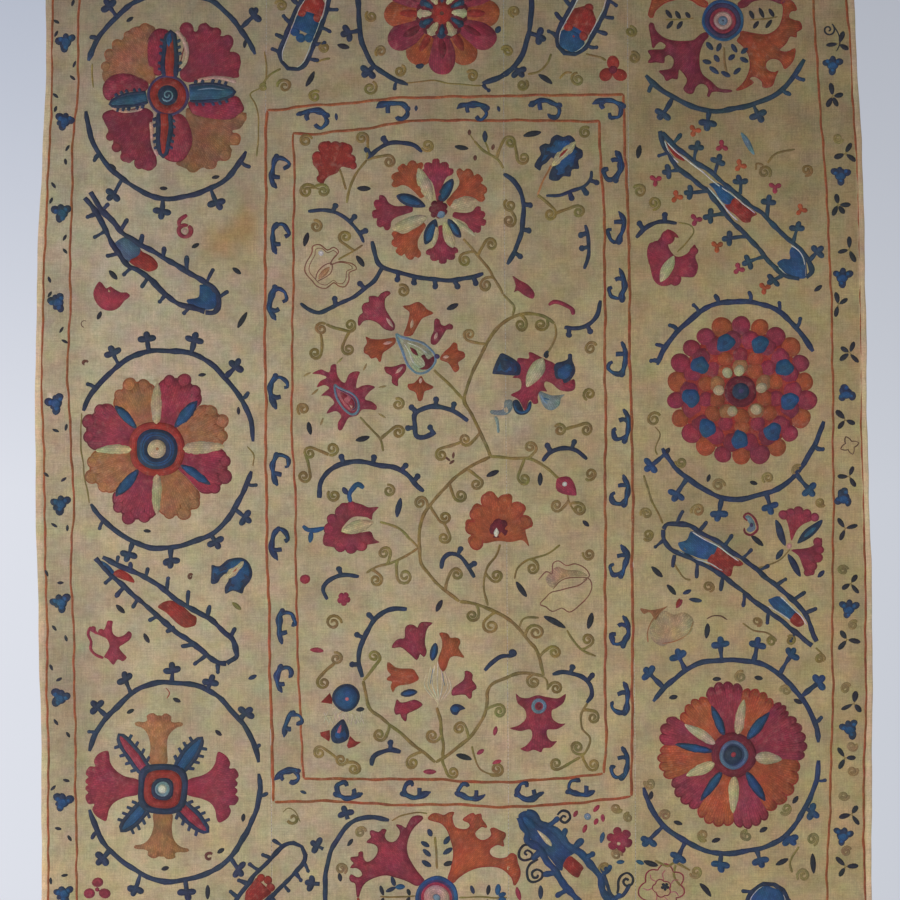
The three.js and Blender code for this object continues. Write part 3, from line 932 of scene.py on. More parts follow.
# ------------------------------------------------------------- the rosettes
def rosette_a(c=(168, 95)):
    # four broad scalloped quarters, ochre and crimson
    for nm, P in (("crimson_deep", [(181, 66), (188, 55), (188, 45), (183, 35), (178, 28), (183, 23), (190, 24), (195, 31), (199, 27), (205, 22), (210, 26), (213, 27), (220, 30), (220, 35), (228, 35), (234, 42), (230, 51), (236, 53), (241, 60), (241, 66), (239, 72), (238, 78), (222, 76), (205, 79), (188, 82), (180, 76)]),
                  ("ochre_deep", [(142, 25), (132, 27), (124, 35), (120, 40), (112, 42), (111, 50), (105, 53), (104, 60), (107, 65), (101, 73), (104, 82), (112, 76), (125, 76), (140, 80), (152, 84), (156, 72), (154, 55), (153, 40), (155, 28), (148, 24)]),
                  ("crimson_deep", [(106, 110), (102, 115), (105, 123), (108, 130), (106, 136), (112, 138), (113, 145), (120, 149), (122, 158), (128, 163), (134, 160), (138, 166), (146, 170), (153, 169), (157, 164), (155, 152), (152, 140), (152, 125), (154, 114), (146, 108), (138, 108), (125, 109), (114, 108)]),
                  ("ochre_deep", [(186, 108), (205, 113), (222, 117), (238, 115), (246, 112), (246, 120), (240, 128), (232, 130), (240, 137), (239, 144), (230, 145), (232, 150), (226, 160), (218, 161), (214, 168), (207, 170), (203, 168), (195, 171), (183, 168), (175, 163), (184, 156), (188, 145), (186, 130)])):
        shape(nm, P, 0.0, radial=c, step=2.2)
    # round scallops along the outer edges
    for nm, P in (("crimson_deep", [(186, 29, 7.5), (203, 28, 5.2), (215.5, 32, 5.4), (227.5, 40.5, 6.6), (232.5, 59, 8), (234, 73, 5)]),
                  ("ochre_deep", [(144.5, 29, 6.4), (129, 36.5, 6.2), (117, 44.5, 5.6), (109, 54.5, 5.8), (105.5, 66, 5.4)]),
                  ("crimson_deep", [(107.5, 116, 5.4), (110, 136, 4.6), (116.5, 146.5, 5.2), (125.5, 156, 5.6), (139, 162.5, 6), (149, 164.5, 6.4)]),
                  ("ochre_deep", [(241, 117.5, 5.8), (234.5, 138, 6.4), (224.5, 154, 6.6), (211, 163.5, 5.8), (193, 165.5, 7.2)])):
        for x, y, r in P:
            disc(nm, (x, y), r, 0.03, n=16)
            ring({"crimson_deep": "crimson_dark"}.get(nm, "rust"), (x, y), r - 1.2, r, 0.12, n=18)
    # their rays
    for nm, a0, a1, r0, r1 in (("crimson_dark", 24, 72, 30, 66), ("rust", 112, 160, 34, 66), ("crimson_dark", 200, 246, 32, 66), ("rust", -66, -22, 34, 68)):
        for k in range(9):
            a = a0 + (a1 - a0) * k / 8
            line(nm, [one(c, r0 + 6 * (k % 2), a * .9 + .05 * (a0 + a1)), one(c, r1 - 3 * (k % 3), a)], 1.2, 0.16, 6.0, wobble=0)
    # a rounded crimson lobe on one side of each leaf, a bare pale edge on the other
    for P in ([(158, 28), (150, 35), (146, 45), (145, 58), (148, 68), (156, 75), (162, 72), (161, 55), (163, 40), (167, 30)],
              [(104, 95), (103, 85), (110, 77), (122, 73), (135, 76), (147, 82), (146, 90), (130, 91), (115, 95), (109, 99)],
              [(178, 114), (186, 120), (191, 133), (190, 148), (183, 160), (172, 161), (163, 156), (170, 145), (173, 130), (172, 118)],
              [(189, 101), (205, 101), (220, 100), (235, 96), (241, 103), (243, 110), (235, 117), (222, 120), (205, 118), (192, 113)]):
        shape("crimson", P, 0.25, radial=c, step=2.4)
        line("crimson_dark", P, 1.1, 0.42, 3.0, closed=True, wobble=0)
    for P, w in (([(175, 30), (182, 38), (187, 50), (185, 60), (180, 68)], 4.5), ([(198, 80), (212, 77), (225, 78), (236, 82)], 3.8),
                 ([(151, 122), (152, 142), (157, 156)], 4.0), ([(112, 106), (122, 111), (135, 111), (142, 108)], 4.0)):
        line("blush", P, w, 0.35, 3.0)
    for core, base, tip, w, rim in (("red", (169.5, 76), (169.5, 31), 18.5, 5.2), ("teal", (189, 92.5), (234.5, 91.5), 20.5, 3.2),
                                    ("red", (164.5, 113), (162.6, 156), 17.5, 5.2), ("teal", (147, 97), (109.5, 103), 15.5, 3.2)):
        serrated(core, "navy", base, tip, w, 5, 0.5, rim=rim, tooth=3.4)
    petal("blue", (168, 47), (169, 31), 6.5, 0.85)
    line("grey_blue", [(197, 89), (211, 88), (225, 89)], 1.6, 0.9)
    ring("purple", c, 18.0, 21.0, 0.6)
    ring("red", c, 9.8, 18.8, 0.5)
    disc("navy", c, 10.6, 0.62)
    line("grey_blue", pol(c, np.linspace(6.6, 1.0, 20), 200 + np.linspace(0, 560, 20)), 1.9, 1.3, raw=True)
    wreath((173, 95), 89, 103, [(22.5, 161), (188.5, 327)],
           heads=[(109, 6), (254, 15), (113, 194), (162, 211), (216, 203)],
           thorns=[(92, 35), (86, 164), (253, 173)],
           gap_ties=[[(92, 63), (91, 75), (93, 87)], [(265, 51), (266, 78), (261, 88), (250, 94), (256, 106), (259, 130), (257, 156)]])
    for x, y, d in ((130, 19, 35), (245, 44, 80), (112, 166, 140), (164, 188, 175), (216, 177, 20)):
        dash(x, y, d, 8.5, 4.2)


def rosette_b(c=(442, 13)):
    for k in range(6):
        a = -90 + 60 * k
        for nm, off, r, R, w in (("crimson", 0, 40, 61, 27), ("orange", 30, 36, 58, 27)):
            p = one(c, 18, a + off)
            q = one(c, R, a + off)
            petal(nm, p, q, w, 0.0 if nm == "orange" else 0.12, power=0.42, skew=0.68)
        petal("red", one(c, 22, a + 30), one(c, 44, a + 30), 9, 0.4, power=0.6)
        petal("crimson_dark", one(c, 24, a), one(c, 46, a), 9, 0.5, power=0.6)
    disc("crimson_dark", c, 27, 0.3, n=30)
    for k in range(6):
        a = -60 + 60 * k
        petal("cream", one(c, 9, a), one(c, 26, a), 12.5, 0.62, power=0.55, skew=0.6)
        petal("navy", one(c, 9, a + 30), one(c, 26, a + 30), 11.5, 0.58, power=0.6, skew=0.6)
        petal("teal", one(c, 12, a + 30), one(c, 23, a + 30), 6, 0.8, power=0.6)
    disc("red", c, 11.5, 0.8)
    disc("brown", c, 4.2, 0.95)
    wreath((444.5, 5), 87, 84, [(-65, 246)], heads=[(348, 33), (369, 71), (538, 35), (518, 71), (352, -38), (400, -88), (444, -93), (492, -88), (534, -40)],
           thorns=[(393, 88), (487, 92)], n=2.5,
           gap_ties=[[(404, 83), (430, 80), (452, 83), (482, 86)]])
    for x, y in ((371, 16), (381, 51), (400, 70), (472, 76), (507, 51), (515, 11), (375, -28), (412, -62), (470, -64), (508, -34)):
        tendril(x, y, 6.2, reach=0, start=(x * 11) % 360)
    dash(498, 29, 60, 8, 6, "navy")
    dash(420, 65, 20, 9, 7, "navy")


def rosette_e(c=(157, 449)):
    R = 75
    order = [(-22, "ochre"), (23, "ochre"), (68, "crimson"), (113, "ochre"), (158, "crimson"), (203, "ochre"), (248, "crimson"), (293, "ochre"), (338, "crimson")]
    for a, nm in order[1:]:
        big = 3.5 if nm == "crimson" else 0
        # the middle lobes are longer
        for off, rr, k in ((0, 7.4, 0), (11.5, 6.6, -5), (-11.5, 6.6, -5)):
            q = one(c, R - 5 + big + k, a + off)
            disc(nm, q, rr, 0.0, n=16)
            ring({"crimson": "crimson_dark"}.get(nm, "rust"), q, rr - 1.3, rr, 0.12, n=18)
        fan(nm, c, a - 22.3, a + 22.3, 24, R - 4 + big, 4, 6.0, 0.10, 0.06)
    for a, L, w in ((90, 67, 13), (2, 67, 15), (270, 66, 12.5), (181, 61, 11.5)):
        petal("cream", one(c, 24, a), one(c, L, a), w, 0.5, power=0.62, skew=0.42)
    for a, L, w in ((50, 63, 14), (134, 60, 12), (229, 63, 13.5), (-33, 65, 12)):
        petal("navy", one(c, 28, a), one(c, L, a), w, 0.5, power=0.7, skew=0.5)
        petal("blue", one(c, 30, a), one(c, L - 3, a), w - 3.4, 0.75, power=0.7, skew=0.5)
    ring("red", c, 19.5, 27.5, 0.55, power=2.4)
    ring("navy", c, 9.0, 20.5, 0.62, power=2.4)
    ring("blue", c, 11.0, 18.8, 0.72, power=2.3)
    ring("navy", c, 14.2, 15.6, 1.3, power=2.3)
    disc("cream", c, 9.6, 0.9)
    disc("ochre", (158, 449), 2.6, 1.3)
    wreath((165, 449), 88, 99, [(4.4, 158), (213, 347.5)],
           heads=[(113, 353), (147, 340), (194, 340), (236, 366), (244, 517), (215, 542), (171, 560), (129, 554)],
           thorns=[(81, 377), (250, 394), (258, 488), (93, 533)],
           gap_ties=[[(81, 413), (81, 440), (84, 470), (89, 503)], [(247, 447), (254, 456), (253, 467)]])
    for x, y, d in ((202, 375, 10), (238, 411, 90), (148, 531, 178)):
        dash(x, y, d, 8, 4)


def rosette_f(c=(741, 391)):
    for k in range(22):
        a = 90 + 360 / 22 * k
        nm = ("crimson", "orange")[k % 2] if k not in (3, 14) else "crimson"
        q, rr = one(c, 65.5 + 1.2 * math.sin(k * 2.1), a), 9.6 + 0.9 * math.sin(k * 1.7)
        disc(nm, q, rr, 0.32, n=16, crown=0.25)
        ring({"crimson": "crimson_dark"}.get(nm, "red"), q, rr - 1.2, rr, 0.1, n=20)
    disc("red", c, 62, 0.0, n=44)
    for k in range(18):
        a = 80 + 20 * k
        disc(("crimson", "crimson_deep")[k % 2], one(c, 51, a), 10.5, 0.45, n=14, crown=0.3)
    for k in range(9):
        a = 68 + 40 * k
        t = np.linspace(0, 2 * math.pi, 18, endpoint=False)
        R = 9.3 * (1 + 0.07 * np.sin(3 * t + k * 1.9) + 0.06 * np.sin(2 * t + k) + 0.05 * np.sin(5 * t + k))
        disc("blue", one(c, 50 + 1.2 * math.sin(k * 2.3), a), 9.0, 0.86, shape=(t, R))
        disc("royal", one(c, 50 + 1.2 * math.sin(k * 2.3), a), 3.4, 1.1, shape=(t, R * 0.42))
    for k in range(14):
        disc(("orange", "crimson")[k % 2], one(c, 36, 14 + 360 / 14 * k), 8.8, 0.42, n=12)
    for k in range(10):
        disc(("ochre", "orange")[k % 2], one(c, 25, 20 + 36 * k), 8.6, 0.58, n=12)
    for a, r in ((94, 21), (126, 23), (178, 22), (247, 22), (310, 24), (10, 21.5)):
        disc("cream", one(c, r, a), 6.2, 1.25, n=12, turn=a, squash=0.9, crown=0.2)
    ring("crimson_dark", c, 8, 16.2, 0.85)
    ring("crimson", c, 12.0, 14.2, 1.05)
    disc("navy", c, 9.0, 0.98)
    disc("purple", c, 4.4, 1.15)
    wreath((739, 400), 86, 99, [(29, 160)], thorns=[(647, 357), (648, 336), (664, 315), (693, 298), (717, 291), (752, 289), (783, 300), (806, 315)], name="indigo")
    wreath((739, 400), 86, 99, [(209, 348)], heads=[(651, 465), (676, 494), (719, 513), (770, 507), (809, 489)], thorns=[(829, 455)], name="indigo", tips="royal")
    for x, y, d in ((668, 451, 60), (708, 478, 80), (754, 483, 160), (706, 452, 0)):
        dash(x, y, d, 8.5, 4.8)
    for x, y, r in ((654, 419, 7.5), (681, 462, 6), (718, 485, 6.5), (768, 478, 6), (797, 470, 6)):
        tendril(x, y, r, reach=0, start=(x * 5) % 360, name="olive" if x < 700 else "olive_pale")
    line("olive", [(655, 426), (660, 434), (656, 448), (658, 455)], 1.8)


def rosette_g(c=(163, 788)):
    head("ochre", (159, 763), (160, 713), 49, "crown", 0.0)
    head("ochre", (164, 812), (162, 858), 55, "crown", 0.0)
    head("crimson", (139, 787), (86, 785), 71, "palm", 0.0)
    head("crimson", (187, 787), (239, 786), 71, "palm", 0.0)
    for core, base, tip in (("crimson", (146, 770), (119, 735)), ("blue", (180, 768), (202, 738)),
                            ("blue", (146, 804), (122, 831)), ("crimson", (180, 804), (208, 831))):
        serrated(core, "navy", base, tip, 17, 4, 0.1, rim=4.4, tooth=4.8)
    ring("navy", c, 18.5, 25.0, 0.5, power=3.6)
    ring("red", c, 10.5, 19.0, 0.45, power=3.2)
    ring("crimson", c, 14.4, 16.2, 0.7, power=3.0)
    ring("navy", c, 6.4, 11.2, 0.55, power=2.4)
    ring("grey_blue", c, 4.4, 7.6, 0.7)
    disc("white", c, 4.6, 0.8)
    wreath((173, 781), 87, 99.5, [(11.4, 163), (197, 364.9)],
           heads=[(97, 707), (125, 680), (172, 670), (211, 682), (246, 713), (239, 868), (187, 892), (136, 888), (103, 858)],
           thorns=[(257, 747), (267, 795), (90, 730), (91, 836)])
    for x, y, d in ((130, 711, 20), (177, 700, 160), (219, 732, 140), (244, 817, 80), (221, 850, 30), (166, 868, 20)):
        dash(x, y, d, 8.5, 4.8)
    tendril(209, 856, 5.0, reach=0, start=40, name="brown", turns=0.9)
    line("red", [(166, 688), (170, 693), (167, 699)], 1.2)


def rosette_i(c=(733, 754)):
    R = 73
    # the fans, anticlockwise from the right
    spans = [(-6, 34, "crimson", 75), (34, 50, "crimson", 72), (50, 82, "orange", 70), (82, 114, "crimson", 74),
             (114, 147, "orange", 69), (147, 172, "crimson", 78), (172, 202, "orange", 76), (202, 237, "crimson", 72),
             (237, 270, "orange", 75), (270, 301, "crimson", 76), (301, 354, "orange", 72)]
    for a0, a1, nm, rr in spans:
        fan(nm, c, a0, a1 + 0.4, 20, rr, 5 if a1 - a0 > 36 else (4 if a1 - a0 > 28 else 3), 5.0, 0.07)
    for a, L, w in ((79, 56, 11), (-6, 49, 13), (270, 59, 12), (205, 52, 12), (148, 57, 11)):
        petal("cream", one(c, 20, a), one(c, L, a), w, 0.5, power=0.62, skew=0.4)
    for a, L, w in ((49, 56, 12), (114, 55, 10), (171, 60, 10), (235, 58, 10.5), (305, 57, 11)):
        petal("navy", one(c, 20, a), one(c, L, a), w, 0.48, power=0.7, skew=0.42)
        petal("blue", one(c, 22, a), one(c, L - 3, a), w - 3.2, 0.72, power=0.7, skew=0.42)
    ring("crimson_dark", c, 13, 22.5, 0.6)
    ring("steel", c, 9.2, 14.6, 0.7)
    ring("indigo", c, 8.6, 11.4, 0.95)
    disc("navy", c, 9.4, 0.72)
    disc("crimson", c, 3.0, 1.35)
    wreath((729, 756), 89, 96.5, [(8, 146.7), (198.8, 358)],
           heads=[(650, 674), (679, 657), (720, 645), (757, 645), (791, 655), (819, 682), (812, 812), (789, 838), (759, 859), (720, 864), (679, 855), (649, 840)],
           thorns=[(829, 716), (828, 783)], n=2.15, name="indigo", tips="royal")
    for x, y, d in ((673, 697, 15), (716, 679, 5), (758, 678, 170), (798, 701, 150), (651, 795, 80), (678, 823, 165), (716, 840, 20), (763, 829, 30), (795, 800, 55)):
        dash(x, y, d, 9.5, 5.0)
    for x, y in ((740, 677), (786, 690), (650, 783), (665, 815), (703, 835), (746, 835), (786, 809)):
        tendril(x, y, 6.0, reach=0, start=(x * 3) % 360, name="olive_pale")


def rosette_d(c=(723, 20)):
    up = np.array([1, -1])
    o = np.asarray(c, float)
    wings(c, [("crimson_deep", WING_A), ("orange", WING_B), ("orange", (np.asarray(WING_A, float) - o) * up + o), ("crimson_deep", (np.asarray(WING_C, float) - o) * -1 + o)])
    rose_core(c, [("blue", 17.5, 21.0), ("purple", 12.8, 18.2), ("crimson", 8.8, 13.2), ("blush", 4.4, 9.2), ("grey_blue", 0, 4.8)])
    disc("ink", c, 2.2, 0.6)
    # leaves round the lower window, twigs in the side ones
    line("olive", [(724, 47), (725, 60), (727, 74)], 2.8)
    line("olive", [(694, 18), (680, 19.5), (666, 19)], 1.8)
    line("olive", [(750, 19), (764, 18), (778, 16)], 1.8)
    for x0, y0, x1, y1 in ((706, 42, 713, 50), (717, 52, 721, 43), (732, 43, 737, 52), (741, 53, 749, 47), (702, 60, 712, 62.5), (710, 66, 719, 74),
                           (721, 71.5, 731, 76), (734, 74, 742, 68), (740, 57, 749, 62), (720, 62, 714, 55), (729, 60, 735, 54)):
        petal("navy", (x0, y0), (x1, y1), 5.4, power=0.5, skew=0.5)
    for x0, y0, x1, y1 in ((666, 9, 673, 18), (676, 11, 681, 19), (667, 28, 674, 20.5), (677, 29, 683, 21), (686, 12, 690, 18),
                           (749, 9, 754, 18), (759, 7, 764, 17), (754, 28, 759, 20), (766, 27, 772, 18.5), (769, 8, 774, 16)):
        petal("ink", (x0, y0), (x1, y1), 4.6, power=0.5, skew=0.5)
    window_sprig(c, 90)
    wreath((721, 20), 94, 90, [(216.8, 334), (26, 152)],
           heads=[(664, 113), (708, 122), (758, 115), (655, -72), (700, -84), (748, -84), (795, -66)],
           thorns=[(640, 97), (790, 97), (810, 87), (632, -44), (812, -48)], name="slate", tips="slate")


def rosette_h(c=(437, 895)):
    def below(P):
        return [(x, 2 * 896 - y) for x, y in P]
    wings(c, [("crimson", WING_E), ("orange", WING_F), ("orange", below(WING_E)), ("crimson", below(WING_F))])
    rose_core((437, 897), [("blue", 17.0, 21.5), ("purple", 15.0, 17.6), ("crimson", 12.2, 15.4), ("blush", 3.4, 12.6), ("grey_blue", 0, 3.8)])
    window_sprig((437, 896), 90)
    window_sprig((437, 896), 270)
    for way in (1, -1):
        for nm, x0, y0, x1, y1, w in (("navy", 395, 886, 391, 876, 5.2), ("blue", 395, 887, 405, 887, 6), ("navy", 396, 887, 386, 891, 5), ("ink", 380, 885, 384, 895, 4.6),
                                      ("ink", 407, 889, 410, 895.5, 4.4), ("ink", 487, 894, 489, 884, 4.6), ("blue", 497, 894, 498, 883, 6.4), ("blue", 498, 894.5, 506, 893, 5.4), ("navy", 474, 893, 471, 884, 4.6)):
            petal(nm, (x0, 896 + way * (y0 - 896)), (x1, 896 + way * (y1 - 896)), w, power=0.5, skew=0.5)
    line("olive", [(380, 896), (398, 897), (416, 896)], 2.0)
    line("olive", [(459, 897), (480, 896), (507, 897)], 2.0)
    branch([(390, 820), (374, 817), (357, 819), (343, 831), (333, 847), (327, 868), (325, 895), (330, 925), (345, 950), (368, 968)], (), 5.0)
    branch([(520, 965), (490, 980), (452, 984), (412, 980)], (), 4.6)
    for x, y, d in ((346, 813, 110), (318, 845, 150), (313, 883, 175), (312, 922, 190), (336, 966, 225), (432, 996, 270), (505, 983, 300)):
        trefoil(x, y, d)
    for x, y, d in ((351, 842, 50), (340, 876, 100), (352, 930, 70), (508, 940, 120)):
        dash(x, y, d, 8.5, 4.8)
    for x, y in ((361, 832), (341, 868), (350, 905), (366, 940), (510, 925)):
        tendril(x, y, 6.0, reach=0, start=(x * 3) % 360, name="olive_pale")
    line("olive", [(392, 821), (402, 815), (416, 812), (428, 814)], 1.8)


def star_rosette(c=(440.6, 213)):
    for nm, base, tip, w in (("crimson", (439, 201), (436, 160), 31), ("orange", (448, 204), (480, 177), 38),
                             ("crimson", (453, 214), (485, 223), 28), ("crimson", (441, 226), (443, 262), 30),
                             ("orange", (424, 223), (399, 253), 35), ("crimson", (412, 208), (373, 214), 34),
                             ("orange", (423, 196), (401, 166), 35)):
        head(nm, base, tip, w * 1.06, "posy", 0.0)
    for base, tip, w in (((431, 201), (418, 168), 13), ((450, 206), (477, 200), 14), ((427, 217), (392, 229), 14), ((444, 222), (454, 248), 12), ((436, 224), (434, 246), 7), ((452, 218), (476, 236), 6)):
        petal("cream", base, tip, w, 0.1, power=0.6)
    for base, tip, w in (((425, 206), (396, 195), 12), ((439, 203), (452, 179), 12), ((436, 219), (425, 244), 12), ((448, 219), (461, 238), 10)):
        petal("navy", base, tip, w, 0.2, power=0.6)
        petal("blue", np.array(base) * .85 + np.array(tip) * .15, np.array(base) * .1 + np.array(tip) * .9, w - 4.5, 0.5, power=0.6)
    flower("crimson_dark", (438, 209), 10, 8, 7, 0, 0.42)
    disc("grey_blue", (441, 214), 4.6, 0.66)


# ------------------------------------------------------------- the borders
def frame_lines():
    outer = [(267, 110.6), (286, 109.6), (300, 106), (334, 103.6), (358, 102), (396, 98), (430, 97), (453, 96), (502, 96.5), (550, 94.5), (600, 94.5), (623, 95.2)]
    line("rust", outer, 3.0)
    line("rust", [(623, 95), (624.5, 125), (625.5, 160), (627, 200), (629, 240), (629.3, 320), (630.5, 390), (632.3, 455), (632.5, 520), (632, 580), (632.5, 640), (632, 700), (631.6, 760), (631.6, 796)], 3.0)
    line("rust", [(631, 796), (600, 800.5), (574, 803.5), (526, 805.2), (491, 806), (454, 804.6), (406, 804.6), (382, 803.6), (334, 801), (300, 801), (275, 801.5)], 3.0)
    line("rust", [(267, 111), (265.8, 150), (265.6, 200), (265.4, 260), (264.8, 320), (265.6, 380), (265.8, 440), (266.5, 500), (267, 550), (269, 600), (269.8, 650), (271, 700), (272.6, 745), (274, 801)], 3.0)
    line("rust", [(292.5, 133), (310, 134.4), (334, 131), (358, 129), (382, 125.5), (409, 121.2), (454, 119.6), (500, 120.6), (550, 120.2), (600, 120.6)], 3.0)
    line("rust", [(599.5, 120.6), (600, 140), (602, 180), (604.6, 230), (604.8, 300), (605, 360), (605.6, 420), (605.2, 500), (605.4, 580), (605.2, 640), (605.4, 700), (605.8, 740), (604, 773)], 3.0)
    line("rust", [(603, 773), (574, 777.6), (550, 779), (502, 781), (468, 781.4), (430, 779.4), (382, 778.6), (334, 778.6), (304, 779)], 3.0)
    line("rust", [(293, 133), (294, 180), (293.4, 240), (292.8, 300), (292.3, 360), (291.4, 415), (293.2, 455), (295.4, 505), (296, 560), (296.4, 600), (297.8, 640), (299, 690), (301.5, 735), (304, 779)], 2.6)
    # side borders, carried on round the ends that the picture cuts off
    lo = [(55, -112), (53.5, -60), (52.4, 0), (51.6, 50), (51, 95), (50.4, 140), (47.6, 190), (46, 230), (44.2, 275), (43.2, 320), (42, 365), (42.6, 410), (44.6, 455), (45.2, 500), (45.3, 545), (46.6, 590), (47.4, 640), (48, 700), (49.4, 770), (49, 850), (50, 920), (52, 1012)]
    li = [(82, -86), (80, -40), (78.6, 5), (77.8, 50), (77, 95), (73, 140), (72.2, 185), (71, 230), (70.4, 275), (70.6, 300), (69, 340), (67.6, 377), (69, 405), (71.8, 455), (74, 500), (71.6, 545), (71.6, 590), (74, 640), (75, 700), (76, 770), (77, 860), (78, 920), (79, 986)]
    ro = [(843, -112), (845, -50), (846.6, 0), (850.6, 50), (852.4, 95), (855.4, 140), (858, 185), (859.4, 230), (860.6, 300), (861.8, 365), (861.8, 410), (862.6, 455), (864.4, 510), (864.8, 560), (864.8, 640), (864.8, 720), (862.6, 780), (862.8, 830), (864, 880), (864, 950), (862, 1012)]
    ri = [(811, -86), (812.5, -40), (813.8, 5), (816.4, 50), (818.6, 90), (823, 140), (825.6, 185), (828.6, 230), (830, 275), (832, 320), (833, 400), (833.4, 455), (833.2, 545), (831.6, 635), (833, 680), (831.4, 725), (830.6, 770), (829.4, 815), (827, 860), (827, 920), (826, 986)]
    for P in (lo, li, ro, ri):
        line("rust", P, 2.5)
    line("rust", [(55, -112), (250, -114), (453, -113), (650, -115), (843, -112)], 2.5)
    line("rust", [(82, -86), (260, -88), (440, -87), (640, -89), (811, -86)], 2.5)
    line("rust", [(52, 1012), (250, 1014), (453, 1013), (650, 1015), (862, 1012)], 2.5)
    line("rust", [(79, 986), (260, 988), (440, 986), (640, 989), (826, 986)], 2.5)


def borders():
    for k, (x, y) in enumerate([(66, 41), (65, 121), (62, 213), (58, 303), (56, 403), (61, 504), (61, 602), (61, 698), (64, 801), (65, 893), (66, 972), (66, -38)]):
        border_flower_left(x, y, (0, -8, 6, 20, 12, -4, 8, -25, -20, 5, 0, 8)[k])
    for x, y, d in [(56, 21, 150), (56, 33, 60), (74, 63, 70), (72, 77, 130), (55, 95, 140), (55, 109, 70), (68, 148, 60), (66, 162, 95),
                    (54, 185, 120), (51, 201, 70), (65, 237, 60), (66, 251, 130), (50, 280, 110), (50, 295, 55), (62, 330, 60), (65, 342, 150),
                    (56, 430, 160), (66, 427, 80), (47, 475, 140), (64, 479, 40), (54, 526, 145), (67, 528, 95), (47, 573, 110), (61, 583, 175),
                    (54, 628, 130), (66, 638, 110), (52, 667, 120), (60, 679, 30), (57, 722, 125), (68, 735, 130), (67, 780, 165), (54, 787, 45),
                    (59, 827, 165), (70, 837, 125), (66, 874, 5), (52, 880, 95), (56, 934, 120), (68, 946, 60), (60, -10, 100), (70, -66, 60), (62, -80, 120),
                    (72, 3, 70)]:
        dash(x, y, d, 7.2, 3.4)
    # right side
    line("ink", pol((829, 30), np.linspace(6.6, 0.8, 26), 60 - np.linspace(0, 520, 26)), 1.9, raw=True)
    line("ink", [(834, 26), (838, 34), (839, 44), (836, 52)], 1.6)
    for x, y, leaves in ((838, 44, (62, 185, -40)), (832, 96, (105, 5, 245, -60)), (845, 153, (58, 200, -42)), (838, 205, (110, 2, 235, -65)),
                         (849, 250, (95, 200, -55)), (838, 305, (40, 110, 255)), (850, 353, (70, 140, -55, 215)), (845, 420, (118, -22, 235)),
                         (849, 477, (62, 175, -45)), (845, 528, (122, 15, 260)), (850, 583, (62, 215, -50)), (847, 640, (130, -12, 230)),
                         (852, 703, (70, 195, -45)), (844, 757, (125, 0, 245)), (851, 814, (70, 195, -50)), (845, 866, (125, 0, 235)),
                         (846, 925, (70, 195, -50)), (840, 972, (125, 0, 235)), (832, -20, (110, 5, 240, -60)), (834, -70, (60, 190, -45))):
        sprig(x, y, leaves, 11.0, 5.4)
    for k, (x, y) in enumerate([(832, 65), (840, 175), (842, 277), (846, 393), (843, 498), (848, 608), (849, 728), (842, 835), (846, 948), (832, -48)]):
        border_flower_right(x, y, (0, 4, -6, 60, 40, -6, 20, -14, 0, 0)[k])
    q = np.linspace(0, 1, 40, endpoint=False)
    f = np.abs(((q * 4) % 1.0) - 0.5) * 2
    star_line = pol((850, 446), 4.5 + 5.0 * f ** 1.2, 20 + 360 * q)
    line("brown", star_line, 1.3, raw=True, closed=True)
    for x, y in ((843, 570), (852, 625), (845, 688), (851, 745), (843, 795), (846, 851), (838, 138), (852, 770)):
        tendril(x, y, 5.2, reach=0, start=(x * 3) % 360, name="olive_pale")
    # inner border
    for x, y in ((314, 117), (394, 110), (474, 110), (546, 107), (609, 107)):
        hook(x, y, 90 if x < 600 else 100, 0.95)
    for x, y in ((278, 170), (279, 237), (277, 303), (277, 390), (279, 468), (279, 543), (285, 625), (283, 678), (291, 724), (288, 776)):
        hook(x, y, {724: 20, 776: 70}.get(y, 0), 0.95 if y < 640 else 0.8)
    for x, y in ((614, 166), (617, 228), (618, 286), (619, 360), (622, 427), (621, 492), (620, 562), (621, 632), (621, 700), (620, 764)):
        hook(x, y, 180, 0.95)
    for x, y in ((348, 791), (415, 791), (470, 792), (528, 792), (581, 789)):
        hook(x, y, 270, 0.86)
    for x, y, d, L in ((336, 116, 90, 8), (416, 108, 80, 6), (499, 109, 110, 6), (364, 106, 20, 0), (303, 792, 160, 7)):
        if L:
            dash(x, y, d, L, 3.6, "navy")
    # the ends, out of the picture, in the same rhythm
    for k in range(9):
        x = 110 + 85 * k
        border_flower_left(x, -100, 90 + 10 * (k % 3))
        border_flower_left(x + 10, 1000, 90 - 10 * (k % 3))
        for dx, d in ((38, 10), (50, 80)):
            if x + dx < 830:
                dash(x + dx, -98 - 4 * (k % 2), d, 7.5, 3.6)
                dash(x + dx, 1002 - 4 * (k % 2), d, 7.5, 3.6)


